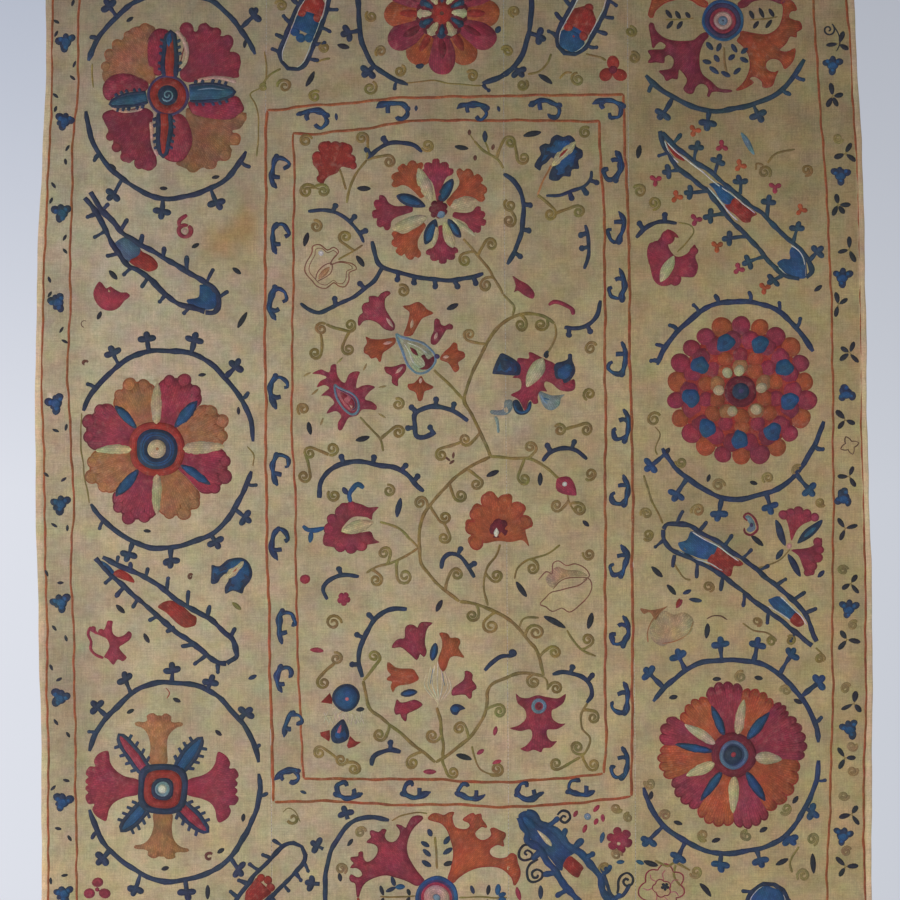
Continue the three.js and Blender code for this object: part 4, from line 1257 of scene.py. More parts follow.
# ----------------------------------------------------------- the outer field
def field():
    leaf([[(90, 192), (97, 204), (104, 213), (113, 222), (124, 234), (137, 243), (150, 250), (162, 257), (175, 264), (188, 272), (200, 278), (210, 285), (217, 294), (219, 303), (214, 312), (205, 312)],
          [(84, 198), (95, 211), (101, 220), (107, 233), (112, 243), (119, 254), (128, 266), (137, 270), (150, 279), (165, 294), (178, 303), (190, 307), (205, 311)]],
         [("steel", [(122, 240), (129, 240), (139, 248), (138, 255), (132, 259), (127, 261), (120, 254), (115, 246)]),
          ("red", [(141, 251), (139, 256), (131, 260), (133, 264), (141, 268), (148, 271), (155, 269), (156, 264), (151, 258), (143, 253)]),
          ("blue", [(201, 285), (211, 286), (216, 295), (214, 306), (201, 308), (190, 303), (189, 299), (198, 297), (200, 289)])],
         [(103, 210, 108, 205), (122, 230, 127, 220), (140, 245, 142, 236), (162, 257, 164, 248), (186, 270, 187, 257), (207, 282, 213, 270), (219, 297, 227, 292),
          (96, 214, 88, 217), (104, 232, 95, 237), (118, 254, 108, 256), (130, 269, 124, 275), (147, 279, 142, 287), (166, 295, 160, 302), (190, 307, 184, 313)], 5.2)
    leaf([[(103, 557), (113, 562), (123, 567), (135, 572), (146, 578), (158, 585), (168, 593), (177, 600), (188, 607), (200, 613), (210, 618), (218, 626), (226, 633), (232, 638), (236, 650), (237, 657), (227, 663)],
          [(96, 558), (103, 567), (112, 576), (122, 585), (133, 595), (143, 603), (154, 612), (165, 622), (176, 631), (188, 639), (200, 648), (210, 657), (220, 662), (227, 663)]],
         [("blue", [(102, 562), (109, 565), (114, 571), (116, 576), (110, 573), (104, 567)]), ("red", [(115, 573), (121, 570), (127, 573), (131, 577), (132, 581), (126, 580), (118, 577)]),
          ("red", [(160, 607), (168, 602), (175, 602), (183, 607), (191, 614), (196, 617), (195, 624), (190, 626), (184, 626), (176, 621), (168, 613)])],
         [(117, 564, 118, 557), (131, 571, 131, 564), (145, 578, 147, 569), (166, 591, 168, 578), (187, 606, 189, 592), (208, 617, 210, 607), (230, 638, 235, 629),
          (112, 577, 106, 583), (124, 587, 116, 596), (138, 598, 133, 607), (160, 614, 150, 620), (175, 626, 168, 631), (195, 643, 183, 646), (206, 655, 195, 663), (218, 663, 218, 671)], 5.0)
    leaf([[(662, 133), (670, 141), (680, 150), (690, 158), (700, 165), (712, 172), (722, 181), (733, 190), (743, 198), (752, 206), (762, 212), (770, 221), (779, 230), (788, 238), (797, 245), (804, 253), (810, 263), (812, 272), (806, 277)],
          [(660, 131), (664, 146), (669, 154), (676, 167), (683, 172), (692, 178), (701, 186), (709, 191), (714, 198), (723, 210), (733, 222), (742, 231), (752, 241), (762, 252), (771, 262), (779, 270), (789, 276), (800, 278)]],
         [("red", [(668, 145), (675, 156), (683, 160), (679, 153), (671, 146)]), ("blue", [(711, 185), (720, 184), (730, 192), (738, 199), (728, 203), (722, 200), (716, 190)]),
          ("red", [(729, 203), (737, 199), (745, 206), (755, 213), (750, 217), (749, 221), (743, 221), (736, 214), (727, 207)]),
          ("blue", [(779, 263), (784, 259), (790, 259), (790, 253), (793, 248), (799, 252), (805, 261), (805, 275), (795, 276), (786, 271)])],
         [(674, 143, 681, 134), (667, 153, 659, 156)], 4.6, "slate",
         white=[[(665, 141), (670, 154), (678, 163)], [(708, 187), (718, 197), (727, 209), (738, 220)], [(668, 143), (680, 155), (695, 166), (718, 184), (735, 196), (745, 205), (755, 213)],
                [(792, 245), (800, 251), (805, 262), (806, 276)], [(778, 266), (787, 274), (795, 277)]],
         sprays=[(694, 161, 696, 147), (715, 174, 718, 160.5), (741, 194, 741, 181), (767, 216, 768.5, 202), (794, 242, 797, 228.5), (809, 261, 818, 252), (679, 170, 669, 171.5),
                 (708, 191, 691, 192.5), (727, 213, 710, 216), (746, 236, 729, 238.5), (765, 256, 749, 262), (784, 274, 774, 280)])
    leaf([[(664, 530), (668, 524), (680, 524), (690, 526), (700, 532), (712, 538), (724, 546), (734, 553), (746, 561), (757, 569), (765, 577), (777, 585), (787, 595), (797, 604), (804, 613), (809, 624), (814, 636), (817, 642)],
          [(664, 530), (664, 540), (670, 549), (680, 554), (690, 558), (700, 563), (712, 569), (722, 575), (732, 583), (742, 590), (752, 599), (762, 606), (772, 614), (782, 621), (791, 629), (802, 638), (812, 646)]],
         [("blue", [(680, 543), (688, 540), (691, 533), (697, 534), (708, 541), (717, 546), (714, 552), (708, 558), (696, 556), (684, 551)]),
          ("red", [(717, 548), (722, 549), (733, 557), (741, 563), (737, 566), (732, 566), (731, 571), (729, 575), (720, 571), (709, 561)]),
          ("blue", [(770, 602), (773, 599), (780, 597), (790, 605), (797, 613), (792, 617), (788, 618), (777, 611)]), ("red", [(792, 616), (797, 614), (801, 620), (802, 624), (797, 626), (791, 621)])],
         [(677, 523, 683, 512), (700, 530, 706, 522), (724, 545, 731, 535), (742, 558, 750, 550), (760, 570, 768, 566), (776, 585, 786, 580), (794, 600, 804, 593), (803, 614, 815, 609),
          (664, 541, 656, 547), (675, 555, 673, 566), (697, 563, 696, 577), (722, 577, 720, 589), (744, 593, 743, 605), (768, 612, 767, 622), (795, 632, 790, 641)], 4.6,
         white=[[(692, 532), (710, 542), (725, 551), (738, 561)], [(780, 596), (792, 607), (801, 617), (806, 625)], [(678, 551), (692, 558), (707, 562), (722, 570)], [(768, 606), (783, 615), (790, 620)]])
    sword((345, -70), (288, 68), 34, [("blue", .10, .25, .8), ("red", .46, .60, .8), ("blue", .60, .74, .85)], 8, lean=16, white=True, wide_at=0.6)
    sword((626, -62), (565, 52), 38, [("blue", .10, .25, .8), ("red", .60, .80, .8), ("blue", .80, .985, .85)], 7, lean=16, white=True, wide_at=0.6)
    sword((206, 944), (302, 846), 32, [("blue", .08, .3, .8), ("red", .42, .62, .8)], 8, lean=16, wide_at=0.6)
    leaf([[(526, 811), (533, 813), (540, 822), (550, 827), (557, 831), (567, 843), (573, 848), (580, 853), (585, 858), (595, 870), (600, 877), (603, 890), (608, 898), (616, 912), (628, 930), (640, 950)],
          [(519, 816), (522, 824), (528, 832), (528, 840), (540, 848), (547, 861), (553, 868), (560, 878), (565, 886), (572, 893), (578, 900), (590, 916), (606, 934), (622, 948), (640, 958)]],
         [("royal", [(520, 815), (527, 811), (534, 815), (541, 824), (551, 829), (558, 835), (566, 845), (573, 851), (566, 856), (562, 862), (561, 868), (556, 866), (549, 856), (543, 847), (532, 838), (527, 828), (521, 821)]),
          ("red", [(565, 860), (570, 857), (576, 861), (582, 867), (580, 871), (577, 876), (572, 874), (567, 869), (563, 865)]),
          ("royal", [(598, 916), (606, 912), (614, 918), (622, 930), (630, 942), (620, 940), (608, 930)])],
         [(548, 826, 557, 819), (562, 840, 565, 831), (573, 848, 581, 841), (585, 858, 592, 854), (600, 877, 609, 868), (541, 850, 533, 857), (556, 872, 545, 874), (568, 889, 558, 895),
          (610, 902, 619, 896), (626, 926, 635, 920), (590, 916, 582, 922), (612, 940, 606, 948)], 7.0, "royal")
    petal("cream", (537, 829), (552, 846), 5.5, 0.5, power=0.6, skew=0.7)
    for P in ([(540.5, 850), (537, 845.6), (532.4, 843.4), (524, 844.6), (519.4, 850.4), (519.6, 856.8), (524.2, 860), (530.8, 857.8), (531.6, 852.6), (527.4, 849.6), (524.4, 852.4), (527, 854.8)],
              [(538, 858), (534, 860.4), (529.8, 864), (526.8, 870.8), (528, 878.8), (533.6, 881.4), (541, 878.2), (542.2, 872), (537.2, 868.8), (532.2, 872), (533, 876.6), (537, 877), (538, 873.8)],
              [(617, 894), (618.2, 888), (618.6, 882), (621.6, 876), (627.8, 873.4), (632.8, 878), (631.6, 884.2), (626, 886), (623.4, 882.2), (626, 879.2), (629, 881)],
              [(557.4, 815), (562.2, 811.2), (568.6, 813), (570.4, 818.6), (565.4, 823), (561, 820), (563.4, 816.2), (566.6, 818)]):
        line("ink", P, 2.7, 0.2, 2.0, taper=(0.8, 0.8), wobble=0.04)
    petal("blue", (523, 816), (536, 828), 9, 0.5, power=0.6)
    sword((742, 978), (774, 884), 46, [("blue", .12, .34, .8), ("red", .40, .56, .8), ("blue", .66, .97, .85)], 6, lean=16, white=True, wide_at=0.7)
    # out of the picture: leaves in the four corners of the ring
    sword((98, -62), (228, -44), 26, [("blue", .1, .3), ("red", .4, .6), ("blue", .84, .97)], 5, lean=16)
    sword((102, 968), (196, 930), 26, [("blue", .1, .3), ("red", .42, .62)], 4, lean=16)

    # small flowers along the long leaf
    for x, y, nm in ((695, 130, "orange"), (722, 146, "crimson"), (741, 165, "orange"), (775, 187, "crimson"), (801, 210, "orange"),
                     (655, 180, "crimson"), (677, 197, "orange"), (696, 220, "crimson"), (717, 246, "orange"), (739, 269, "crimson"), (765, 288, "orange")):
        for k in range(3):
            a = 90 + 120 * k + (x % 60)
            petal(nm, (x, y), one((x, y), 6.6, a), 5.4, 0.02 * k, power=0.55, skew=0.6, steps=7)
        disc(nm, (x, y), 2.6, 0.1, n=8)

    line("crimson", pol((184.5, 230.5), 6.0, np.linspace(60, 420, 24)), 4.8, raw=True, closed=False)
    line("crimson", [(179, 226), (180, 219), (187, 214.5)], 4.6, 0.05)
    disc("blush", (184.5, 230.5), 3.2, 0.1)
    shape("crimson", [(94, 287), (98, 281), (102, 283), (106, 288), (110, 286), (115, 289), (121, 292), (126, 292), (130, 296), (124, 301), (120, 307), (113, 311), (104, 310), (97, 304), (93, 295)], radial=(110, 312))
    petal("cream", (108, 289), (112, 300), 3.0, 0.4)
    # the blue bud beside the lower leaf
    shape("navy", [(211, 571), (212, 565), (219, 566), (228, 559), (240, 557), (249, 561), (253, 570), (251, 580), (245, 588), (242, 594), (233, 591), (226, 594), (225, 587), (229, 580), (226, 574), (221, 578), (218, 583), (211, 584)], radial=(232, 575))
    shape("blue", [(212, 573), (214, 567), (222, 567), (231, 560), (241, 559), (249, 564), (250, 574), (245, 582), (240, 590), (232, 590), (228, 591), (232, 581), (228, 573), (220, 574), (214, 580)], 0.34, radial=(232, 575))
    petal("cream", (226, 579), (244, 561), 11, 0.62, power=0.7)
    petal("orange", (230, 576), (241, 564), 4.4, 0.8)
    # crimson flower with a cream eye
    shape("crimson", [(97, 634), (100, 631), (104, 630), (106, 624), (109, 621), (113, 622), (112, 628), (113, 634), (118, 637), (124, 635), (128, 631), (132, 634), (131, 640), (125, 645), (120, 648), (123, 653), (127, 658), (123, 662), (118, 660), (114, 665), (108, 659), (104, 657), (106, 652), (109, 646), (107, 640), (102, 637)], radial=(107, 644), step=2.0)
    line("crimson", [(98, 634), (93, 630), (90, 628), (88, 634), (91, 641), (91, 649), (96, 655), (104, 658)], 3.2, 0.1)
    for x, y in ((93, 629), (101, 632), (109, 624)):
        disc("crimson", (x, y), 3.2, 0.1, n=10)
    for x, y in ((98, 882), (90, 893), (105, 893)):
        disc("crimson", (x, y), 6.0, 0.0, squash=0.9, n=12)
    disc("crimson", (98, 889.5), 2.6, 0.05)
    for k in range(3):
        a = 90 + 120 * k
        g = one((613, 71), 8, a)
        disc("red", g, 7.6, 0.0, squash=0.86, turn=a)
        petal("cream", one(g, -3.5, a), one(g, 3.0, a), 3.6, 0.45)
    disc("crimson_dark", (613, 70), 4.6, 0.45)
    # lobed crimson flower on the right, its windows left bare
    shape("crimson", [(650, 268), (647, 255), (650, 243), (657, 241), (662, 235), (668, 229), (676, 232), (679, 238), (673, 237), (669, 242), (671, 250), (677, 256), (687, 253), (694, 244), (697, 249), (696, 258), (698, 266), (694, 276), (683, 277), (676, 277), (671, 284), (661, 286), (653, 280)], radial=(672, 260))
    for x, y, r in ((658, 247, 7), (668, 237, 7), (655, 261, 7), (660, 275, 7), (675, 279, 6.5), (690, 269, 6.5), (694, 251, 4.6)):
        disc("crimson", (x, y), r, 0.04, n=14)
        ring("crimson_dark", (x, y), r - 1.1, r, 0.12, n=16)
    petal("cream", (660, 282), (674, 255), 12, 0.7, power=0.75)
    branch([(636, 238), (646, 227), (657, 222), (668, 222), (678, 223)], (0.25, 0.72), 4.4, side=-1)
    line("olive", [(679, 222), (690, 225), (694, 232), (686, 243), (677, 252)], 1.8)
    # palmette pair with dark leaves on a hub
    shape("crimson", [(791, 541), (789, 530), (785, 520), (779, 515), (786, 510), (794, 511), (797, 506), (801, 507), (806, 514), (819, 517), (812, 520), (804, 524), (797, 531)], radial=(792, 548), step=2.0)
    shape("crimson", [(791, 550), (803, 549), (812, 546), (822, 537), (823, 545), (820, 552), (823, 560), (816, 565), (814, 575), (807, 575), (803, 567), (799, 557)], radial=(786, 545), step=2.0)
    for x, y, r in ((783, 515, 5), (790.5, 513, 5), (798, 511, 5.4), (806.5, 513.5, 5), (814.5, 517, 4.4), (818, 541.5, 5), (819.5, 549.5, 5), (818, 558, 5.4), (812.5, 566, 5.2), (808, 572.5, 4.2)):
        disc("crimson", (x, y), r, 0.04, n=12)
        ring("crimson_dark", (x, y), r - 1.0, r, 0.12, n=14)
    for foot, tip, w in (((785, 546), (775, 520), 8), ((797, 544), (822, 520), 9.5), ((788, 554), (801, 577), 7.5), ((783, 549), (776, 560), 6)):
        petal("navy", foot, tip, w, 0.1, power=0.6)
    petal("teal", (801, 540), (818, 524), 4.8, 0.4)
    petal("blue", (782, 538), (778, 525), 3.6, 0.4)
    disc("blush", (789, 546), 3.0, 0.3, n=10)
    dash(821, 574, 45, 10, 5, "navy")
    line("olive", [(790, 549), (780, 560), (766, 566), (757, 568)], 1.8)
    shape("grey_blue", [(744, 517), (749, 515), (754, 521), (755, 529), (750, 533), (746, 530), (749, 525)], 0.0, radial=(750, 526), step=2.0)
    line("crimson_dark", [(747, 521), (743, 517), (748, 513), (755, 519), (757, 529), (751, 535.5), (745, 533), (744, 528)], 2.4, 0.3)
    disc("purple", (751, 525), 1.9, 0.5, squash=1.4)
    # the faded flower, mostly worn away
    shape("faded", [(650, 627), (655, 616), (664, 610), (674, 614), (684, 612), (694, 620), (692, 632), (683, 640), (671, 642), (662, 646), (652, 640)], -0.15, radial=(668, 640))
    shape("ochre", [(640, 608), (650, 609), (660, 608), (668, 606), (660, 613), (655, 620), (649, 612), (643, 614)], 0.1, radial=(650, 625))
    line("ochre", [(648, 642), (648, 630), (653, 618), (662, 610)], 1.4, 0.2)
    line("ochre", [(662, 643), (676, 641), (688, 634), (694, 622)], 1.2, 0.2)
    line("brown", [(707, 619), (712, 616), (720, 616), (727, 620)], 1.6)
    # lower right: small blossoms
    flower("crimson", (619, 840), 13.5, 8.5, 6, 12)
    disc("cream", (618, 843), 2.4, 0.5)
    q = np.linspace(0, 1, 90, endpoint=False)
    line("crimson", pol((662, 888), 18.5 + 5.0 * np.abs(np.sin(np.pi * q * 7 + 0.6 * np.sin(6.3 * q))) + 1.6 * np.sin(6.28 * q * 2), 360 * q + 10), 1.7, raw=True, closed=True)
    for k in range(7):
        a = 10 + 360 / 7 * k
        line("crimson_pale", [one((662, 888), 8.5, a + 14), one((662, 888), 14, a + 26), one((662, 888), 18.5, a + 16)], 1.3, 0.0, 2.6)
    line("crimson", pol((662, 888), 7.4 + 1.8 * np.abs(np.sin(np.pi * q[::2] * 5)), 360 * q[::2]), 1.4, raw=True, closed=True)
    flower("ink", (665, 886), 4.4, 2.6, 5, 20, 0.1)
    for x, y, d, L, nm in ((195, 245, 30, 9, "ink"), (237, 271, 145, 11, "ink"), (113, 275, 135, 13, "ink"), (99, 315, 70, 9, "ink"), (242, 320, 60, 18, "ink"),
                           (253, 677, 25, 10, "navy"), (147, 638, 115, 11, "ink"), (343, 46, 165, 14, "ink"), (310, 78, 62, 18, "ink"), (546, 78, 145, 17, "ink"),
                           (748, 143, 124, 27, "grey_blue"), (757, 541, 140, 16, "ink"), (657, 572, 140, 16, "ink"),
                           (707, 631, 85, 16, "ink"), (651, 863, 162, 16, "ink"), (781, 861, 25, 15, "ink"), (813, 863, 95, 21, "ink"), (705, 889, 130, 18, "ink"),
                           (208, 891, 95, 15, "ink"), (639, 152, 75, 14, "ink"), (120, 609, 140, 13, "ink"), (237, 606, 140, 12, "olive"), (679, 604, 55, 10, "crimson"), (671, 590, 130, 14, "ink"), (687, 592, 30, 10, "navy"), (695, 600, 175, 13, "navy"), (678, 603, 70, 9, "red"),
                           (818, 288, 30, 10, "ink"), (640, 862, 160, 9, "teal"), (620, 862, 10, 9, "teal"), (576, 814, 60, 8, "crimson"), (585, 829, 70, 9, "crimson"),
                           (597, 809, 50, 9, "crimson"), (603, 818, 90, 8, "crimson"), (602, 838, 80, 12, "teal"), (518, 893, 100, 14, "crimson"), (540, 892, 95, 14, "navy"),
                           (596, 822, 60, 8, "crimson"), (120, 940, 60, 10, "ink"), (560, 952, 40, 12, "ink"), (600, -30, 70, 10, "ink"), (540, -60, 30, 12, "ink"),
                           (282, -62, 120, 12, "ink"), (130, -25, 150, 12, "ink"), (700, 955, 60, 12, "ink"), (800, 950, 120, 12, "ink"), (320, 975, 20, 12, "ink")):
        dash(x, y, d, L, 3.2 + min(L, 16) * 0.17, nm)
    disc("grey_blue", (588, 817), 4.0, 0.0)
    disc("cream", (588, 817), 1.8, 0.3)
    for x, y, r in ((708, 587, 5.6), (757, 621, 5.0), (771, 641, 5.0)):
        line("olive", pol((x, y), np.linspace(r, 1.2, 22), (x * 7) % 360 + np.linspace(0, 620, 22)), 2.6, raw=True)
    line("olive", [(742, 623), (752, 630), (765, 632), (775, 638)], 2.2)
    # vines and tendrils of the field
    vine([(768, 163), (775, 155), (785, 151), (796, 149)], 1.8)
    vine([(756, 170), (757, 163), (764, 165)], 1.8)
    vine([(262, 85), (270, 75), (281, 69)], 1.8)
    vine([(315, 62), (322, 59), (330, 58)], 1.8)
    vine([(528, 74), (540, 70), (548, 62), (552, 53)], 1.8)
    vine([(586, 54), (600, 57), (606, 61)], 1.8)
    vine([(560, 78), (566, 72), (573, 72)], 1.8)
    vine([(644, 475), (648, 492), (656, 510), (663, 524)], 1.8)
    vine([(672, 560), (682, 577), (690, 580)], 1.6)
    vine([(815, 648), (822, 655), (824, 662)], 1.8)
    vine([(798, 846), (790, 860), (792, 872)], 1.8)
    vine([(655, 860), (668, 866), (676, 862), (690, 870)], 1.8)
    vine([(676, 864), (674, 876), (680, 886)], 1.8)
    for x, y, r in ((370, 88, 7.5), (315, 96, 6.5), (578, 79, 7.0), (523, 85, 6.0), (631, 31, 6.0), (634, 58, 6.0), (639, 191, 7.0), (654, 203, 7.0),
                    (765, 172, 7.0), (807, 170, 6.5), (698, 510, 7), (820, 659, 5.0), (812, 839, 6.5),
                    (803, 875, 7.0), (696, 871, 6.5), (616, 808, 5.5), (628, 817, 5.0), (646, 514, 6.0), (687, 547, 5.0), (284, 86, 7.5), (324, 47, 5.5),
                    (263, 88, 4.0), (648, 535, 6), (820, 502, 5), (790, 640, 5), (281, 5, 6.0), (616, 855, 6.0), (604, 868, 6.0),
                    (250, -20, 6), (270, -50, 6), (585, -70, 6), (640, -20, 6), (120, 915, 6), (560, 975, 6), (700, 930, 6), (655, 950, 6), (805, 925, 6)):
        tendril(x, y, r, reach=18 if r > 5 else 0, start=(x * 7) % 360, name="olive" if y < 700 else "olive_pale")
    tendril(293, 818, 6.2, reach=0, start=200, name="olive", turns=1.0)
    line("olive", [(300, 822), (296, 812), (288, 808), (282, 812)], 1.4)
    line("brown", pol((85, 66 + 258), 3.5, np.linspace(60, 260, 9)), 1.2, raw=True)
    line("navy", [(600, 868), (606, 880), (612, 896), (622, 896), (630, 884)], 4.0)
    tendril(190, 577, 3.0, reach=0, start=30, name="brown", turns=1.0)
    tendril(85, 364, 4.0, reach=0, start=30, name="brown", turns=0.6)


# ------------------------------------------------------------ centre panel
def centre():
    vine([(436, 763), (426, 755), (411, 743), (396, 730), (383, 719), (371, 709), (366, 695), (363, 680)], 2.6)
    vine([(443, 757), (443, 745), (441, 734), (440, 720), (437, 707)], 2.6)
    vine([(436, 763), (445, 757), (457, 748), (468, 738), (478, 726), (484, 715), (487, 700), (487, 692), (492, 684), (510, 676), (526, 673), (543, 676)], 2.6)
    vine([(543, 676), (541, 665), (539, 657), (535, 648), (530, 642), (518, 627), (505, 617), (491, 610), (475, 604), (459, 602)], 2.6)
    vine([(459, 602), (443, 589), (432, 578), (424, 568), (420, 557), (419, 547), (419, 536), (420, 526), (424, 514), (432, 503), (443, 489), (457, 476), (472, 466), (491, 457)], 2.6)
    vine([(491, 457), (483, 438), (472, 415), (464, 401), (468, 385), (472, 372), (478, 361), (488, 341), (501, 325), (514, 317), (530, 314), (543, 316), (554, 323)], 2.6)
    vine([(491, 457), (510, 458), (530, 459), (544, 466), (556, 476), (560, 479)], 2.4)
    vine([(464, 401), (450, 386), (434, 370)], 2.2)
    vine([(503, 295), (514, 306), (513, 316)], 2.0)
    vine([(463, 239), (475, 252), (491, 274), (503, 295)], 2.2)
    vine([(503, 168), (498, 160), (490, 154), (481, 148), (474, 140)], 2.0)
    vine([(490, 154), (487, 146), (484, 140)], 1.4)
    vine([(474, 140), (470, 133)], 1.2)
    vine([(300, 189), (311, 188), (322, 190), (329, 189)], 1.6)
    vine([(347, 203), (349, 190), (357, 172), (367, 159)], 2.0)
    vine([(346, 190), (343, 178), (338, 168)], 1.8)
    vine([(338, 260), (352, 252), (363, 245)], 1.6)
    vine([(538, 195), (544, 180), (551, 165)], 1.6, "ochre")
    vine([(360, 417), (372, 431), (380, 440), (383, 452)], 1.8)
    vine([(380, 522), (398, 528), (411, 540), (418, 548)], 2.0)
    vine([(418, 548), (406, 556), (392, 562), (378, 566), (366, 573)], 2.0)
    vine([(500, 544), (496, 556), (488, 566), (484, 578), (484, 590), (487, 606)], 1.8)
    vine([(554, 323), (556, 335), (551, 347), (546, 354)], 1.8)
    vine([(520, 627), (522, 620), (528, 617), (540, 617)], 1.8)
    vine([(567, 630), (575, 644), (585, 652), (596, 657)], 1.8)
    vine([(588, 703), (581, 715), (582, 728), (590, 738), (586, 750), (580, 757)], 1.8)
    vine([(472, 745), (475, 757), (480, 768), (490, 773), (500, 773)], 1.6)
    vine([(541, 676), (546, 680), (548, 690)], 1.8)
    vine([(567, 490), (569, 500), (575, 512)], 1.6)
    vine([(560, 545), (546, 555), (527, 560), (517, 568), (514, 579)], 1.6)

    # dark arcs
    branch([(503, 173), (514, 181), (522, 194), (524, 212), (521, 232), (515, 250), (507, 265)], ((.38, -1), (.62, -1), (.86, -1)), 5.0, side=-1, taper=(.4, .6))
    branch([(372, 241), (375, 257), (381, 266), (396, 272), (415, 276), (445, 280), (465, 278), (483, 274)], ((.34, 1), (.48, 1), (.62, 1), (.78, 1), (.92, 1)), 4.8, side=1)
    branch([(308, 211), (322, 210), (338, 214), (350, 222), (360, 236), (364, 243)], ((.35, -1), (.62, -1), (.84, -1)), 4.2, taper=(.5, .4))
    branch([(367, 159), (377, 149), (390, 143), (404, 143), (415, 146), (423, 152)], ((.1, -1), (.38, -1)), 4.6, side=-1)
    branch([(384, 266), (376, 279), (367, 287), (357, 295), (344, 301), (331, 308), (319, 312), (308, 309), (300, 303)], ((.3, 1), (.62, 1)), 4.6, side=1, taper=(.8, .5))
    branch([(546, 196), (560, 195), (572, 191), (585, 186), (591, 178), (592, 170)], ((.42, 1), (.66, 1), (.82, 1)), 3.8, side=1)
    branch([(585, 225), (588, 236), (589, 247), (588, 258), (585, 269)], ((.2, 1), (.5, 1)), 4.2, side=1)
    branch([(564, 327), (575, 328), (587, 325), (596, 316), (601, 300)], ((.12, 1), (.42, 1)), 4.6, side=1)
    branch([(468, 421), (452, 411), (438, 407), (425, 408), (415, 413), (414, 424), (416, 435), (424, 437), (436, 432)], ((.18, 1), (.36, 1), (.54, 1), (.72, 1), (.96, -1)), 5.2, side=-1)
    branch([(319, 498), (320, 484), (326, 473), (338, 465), (352, 462), (367, 463), (382, 466), (396, 468), (406, 474), (414, 482), (424, 492)], ((.34, -1), (.56, -1), (.78, -1), (.9, -1)), 5.4, side=-1, taper=(.8, .4))
    branch([(441, 569), (443, 560), (450, 554), (458, 555), (465, 561), (470, 569), (474, 578)], ((.5, -1), (.78, -1)), 4.6, side=-1)
    branch([(542, 461), (548, 453), (557, 449), (566, 448), (577, 451), (587, 460)], ((.25, -1), (.62, -1)), 4.6, side=-1)
    branch([(327, 600), (323, 590), (327, 582), (336, 577), (346, 575), (359, 576)], ((.65, -1),), 4.6, side=-1)
    branch([(407, 609), (396, 608), (386, 611), (376, 618), (369, 629), (363, 640), (359, 651), (359, 664), (362, 677)], ((.36, 1), (.58, 1), (.86, 1)), 5.0, side=1, taper=(.7, .7))
    branch([(485, 671), (492, 663), (501, 657), (511, 656), (516, 653)], (), 4.6)
    disc("navy", (513, 653), 4.4, 0.1)
    branch([(552, 674), (562, 672), (573, 674), (583, 677), (591, 685), (592, 695), (587, 703)], ((.3, -1), (.58, -1)), 4.8, side=-1)
    branch([(371, 765), (373, 757), (380, 752), (390, 749), (401, 752)], ((.72, -1),), 5.2, side=-1)
    for x, y, d, L, nm in ((462, 147, 170, 14, "ink"), (485, 136, 85, 12, "navy"), (532, 134, 15, 19, "ink"), (362, 439, 15, 15, "ink"), (310, 428, 100, 13, "ink"),
                           (492, 474, 20, 14, "ink"), (540, 479, 95, 14, "ink"), (399, 508, 78, 20, "navy"), (521, 589, 125, 19, "ink"), (586, 523, 140, 9, "ink"),
                           (452, 306, 25, 14, "ink"), (439, 606, 60, 13, "ink"), (555, 622, 150, 25, "ink"), (590, 621, 75, 17, "ink"), (464, 757, 165, 17, "ink"),
                           (364, 188, 178, 15, "ink"), (360, 261, 125, 14, "ink"), (306, 239, 75, 14, "ink"), (361, 709, 5, 9, "ink"), (546, 354, 60, 8, "navy"),
                           (317, 650, 175, 14, "crimson"), (495, 730, 80, 10, "crimson"), (481, 751, 30, 9, "crimson"), (497, 761, 20, 10, "crimson"),
                           (430, 772, 178, 13, "crimson"),
                           (470, 132, 85, 6, "brown"), (493, 147, 80, 6, "brown"), (475, 157, 80, 6, "brown")):
        dash(x, y, d, L, 3.0 + min(L, 17) * 0.2, nm)
    for x, y, d, L, w in ((433.7, 651.5, 80, 18, 8.6), (409.5, 693.2, 8, 18, 8.4)):
        dash(x, y, d, L, w, "navy")
        petal("blue", one((x, y), -L * 0.36, d), one((x, y), L * 0.36, d), w * 0.55, 0.4, power=0.5)
    disc("crimson", (305, 579), 5.6, 0.0, squash=0.9)
    flower("crimson", (344, 599), 7, 5, 5, 20)
    for x, y in ((448, 459), (452, 462), (454, 455)):
        dash(x, y, x * 20 % 180, 7, 3, "brown")

    # flowers
    shape("red", [(312, 163), (313, 155), (319, 153), (320, 144), (328, 140), (334, 145), (342, 141), (350, 145), (351, 153), (355, 162), (357, 167), (348, 168), (341, 167), (337, 173), (329, 176), (325, 180), (322, 186), (317, 180), (318, 172)], radial=(336, 172))
    for x, y, r in ((317, 157, 6), (324, 147, 6.5), (335, 147, 6.5), (346, 149, 6.5), (350, 159, 5.5), (327, 168, 6), (320, 179, 4.2), (353, 165, 4)):
        disc("red", (x, y), r, 0.04, n=14)
        ring("crimson_dark", (x, y), r - 1.0, r, 0.1, n=16)
    for a in (60, 85, 110, 135, 160):
        line("crimson_dark", [one((338, 172), 8, a), one((338, 172), 24, a)], 1.2, 0.36, 5.0, wobble=0)
    star_rosette()
    # blue tulip with a red and cream heart
    shape("navy", [(540, 171), (534, 166), (537, 159), (541, 154), (539, 147), (545, 143), (549, 144), (551, 138), (557, 134), (563, 136), (569, 134), (575, 139), (577, 146), (583, 150), (583, 157), (579, 160), (580, 168), (573, 170), (571, 177), (564, 177), (559, 181), (550, 179), (550, 171), (554, 163), (552, 158), (547, 163), (542, 166)], radial=(556, 162))
    shape("blue", [(541, 162), (544, 155), (544, 148), (551, 147), (555, 140), (562, 140), (569, 139), (573, 146), (578, 152), (575, 159), (574, 166), (568, 169), (565, 174), (557, 175), (555, 168), (558, 160), (552, 154), (546, 159)], 0.34, radial=(556, 162))
    petal("cream", (552, 166), (576, 141), 12, 0.62, power=0.7)
    petal("red", (557, 160), (570, 146), 5, 0.85)
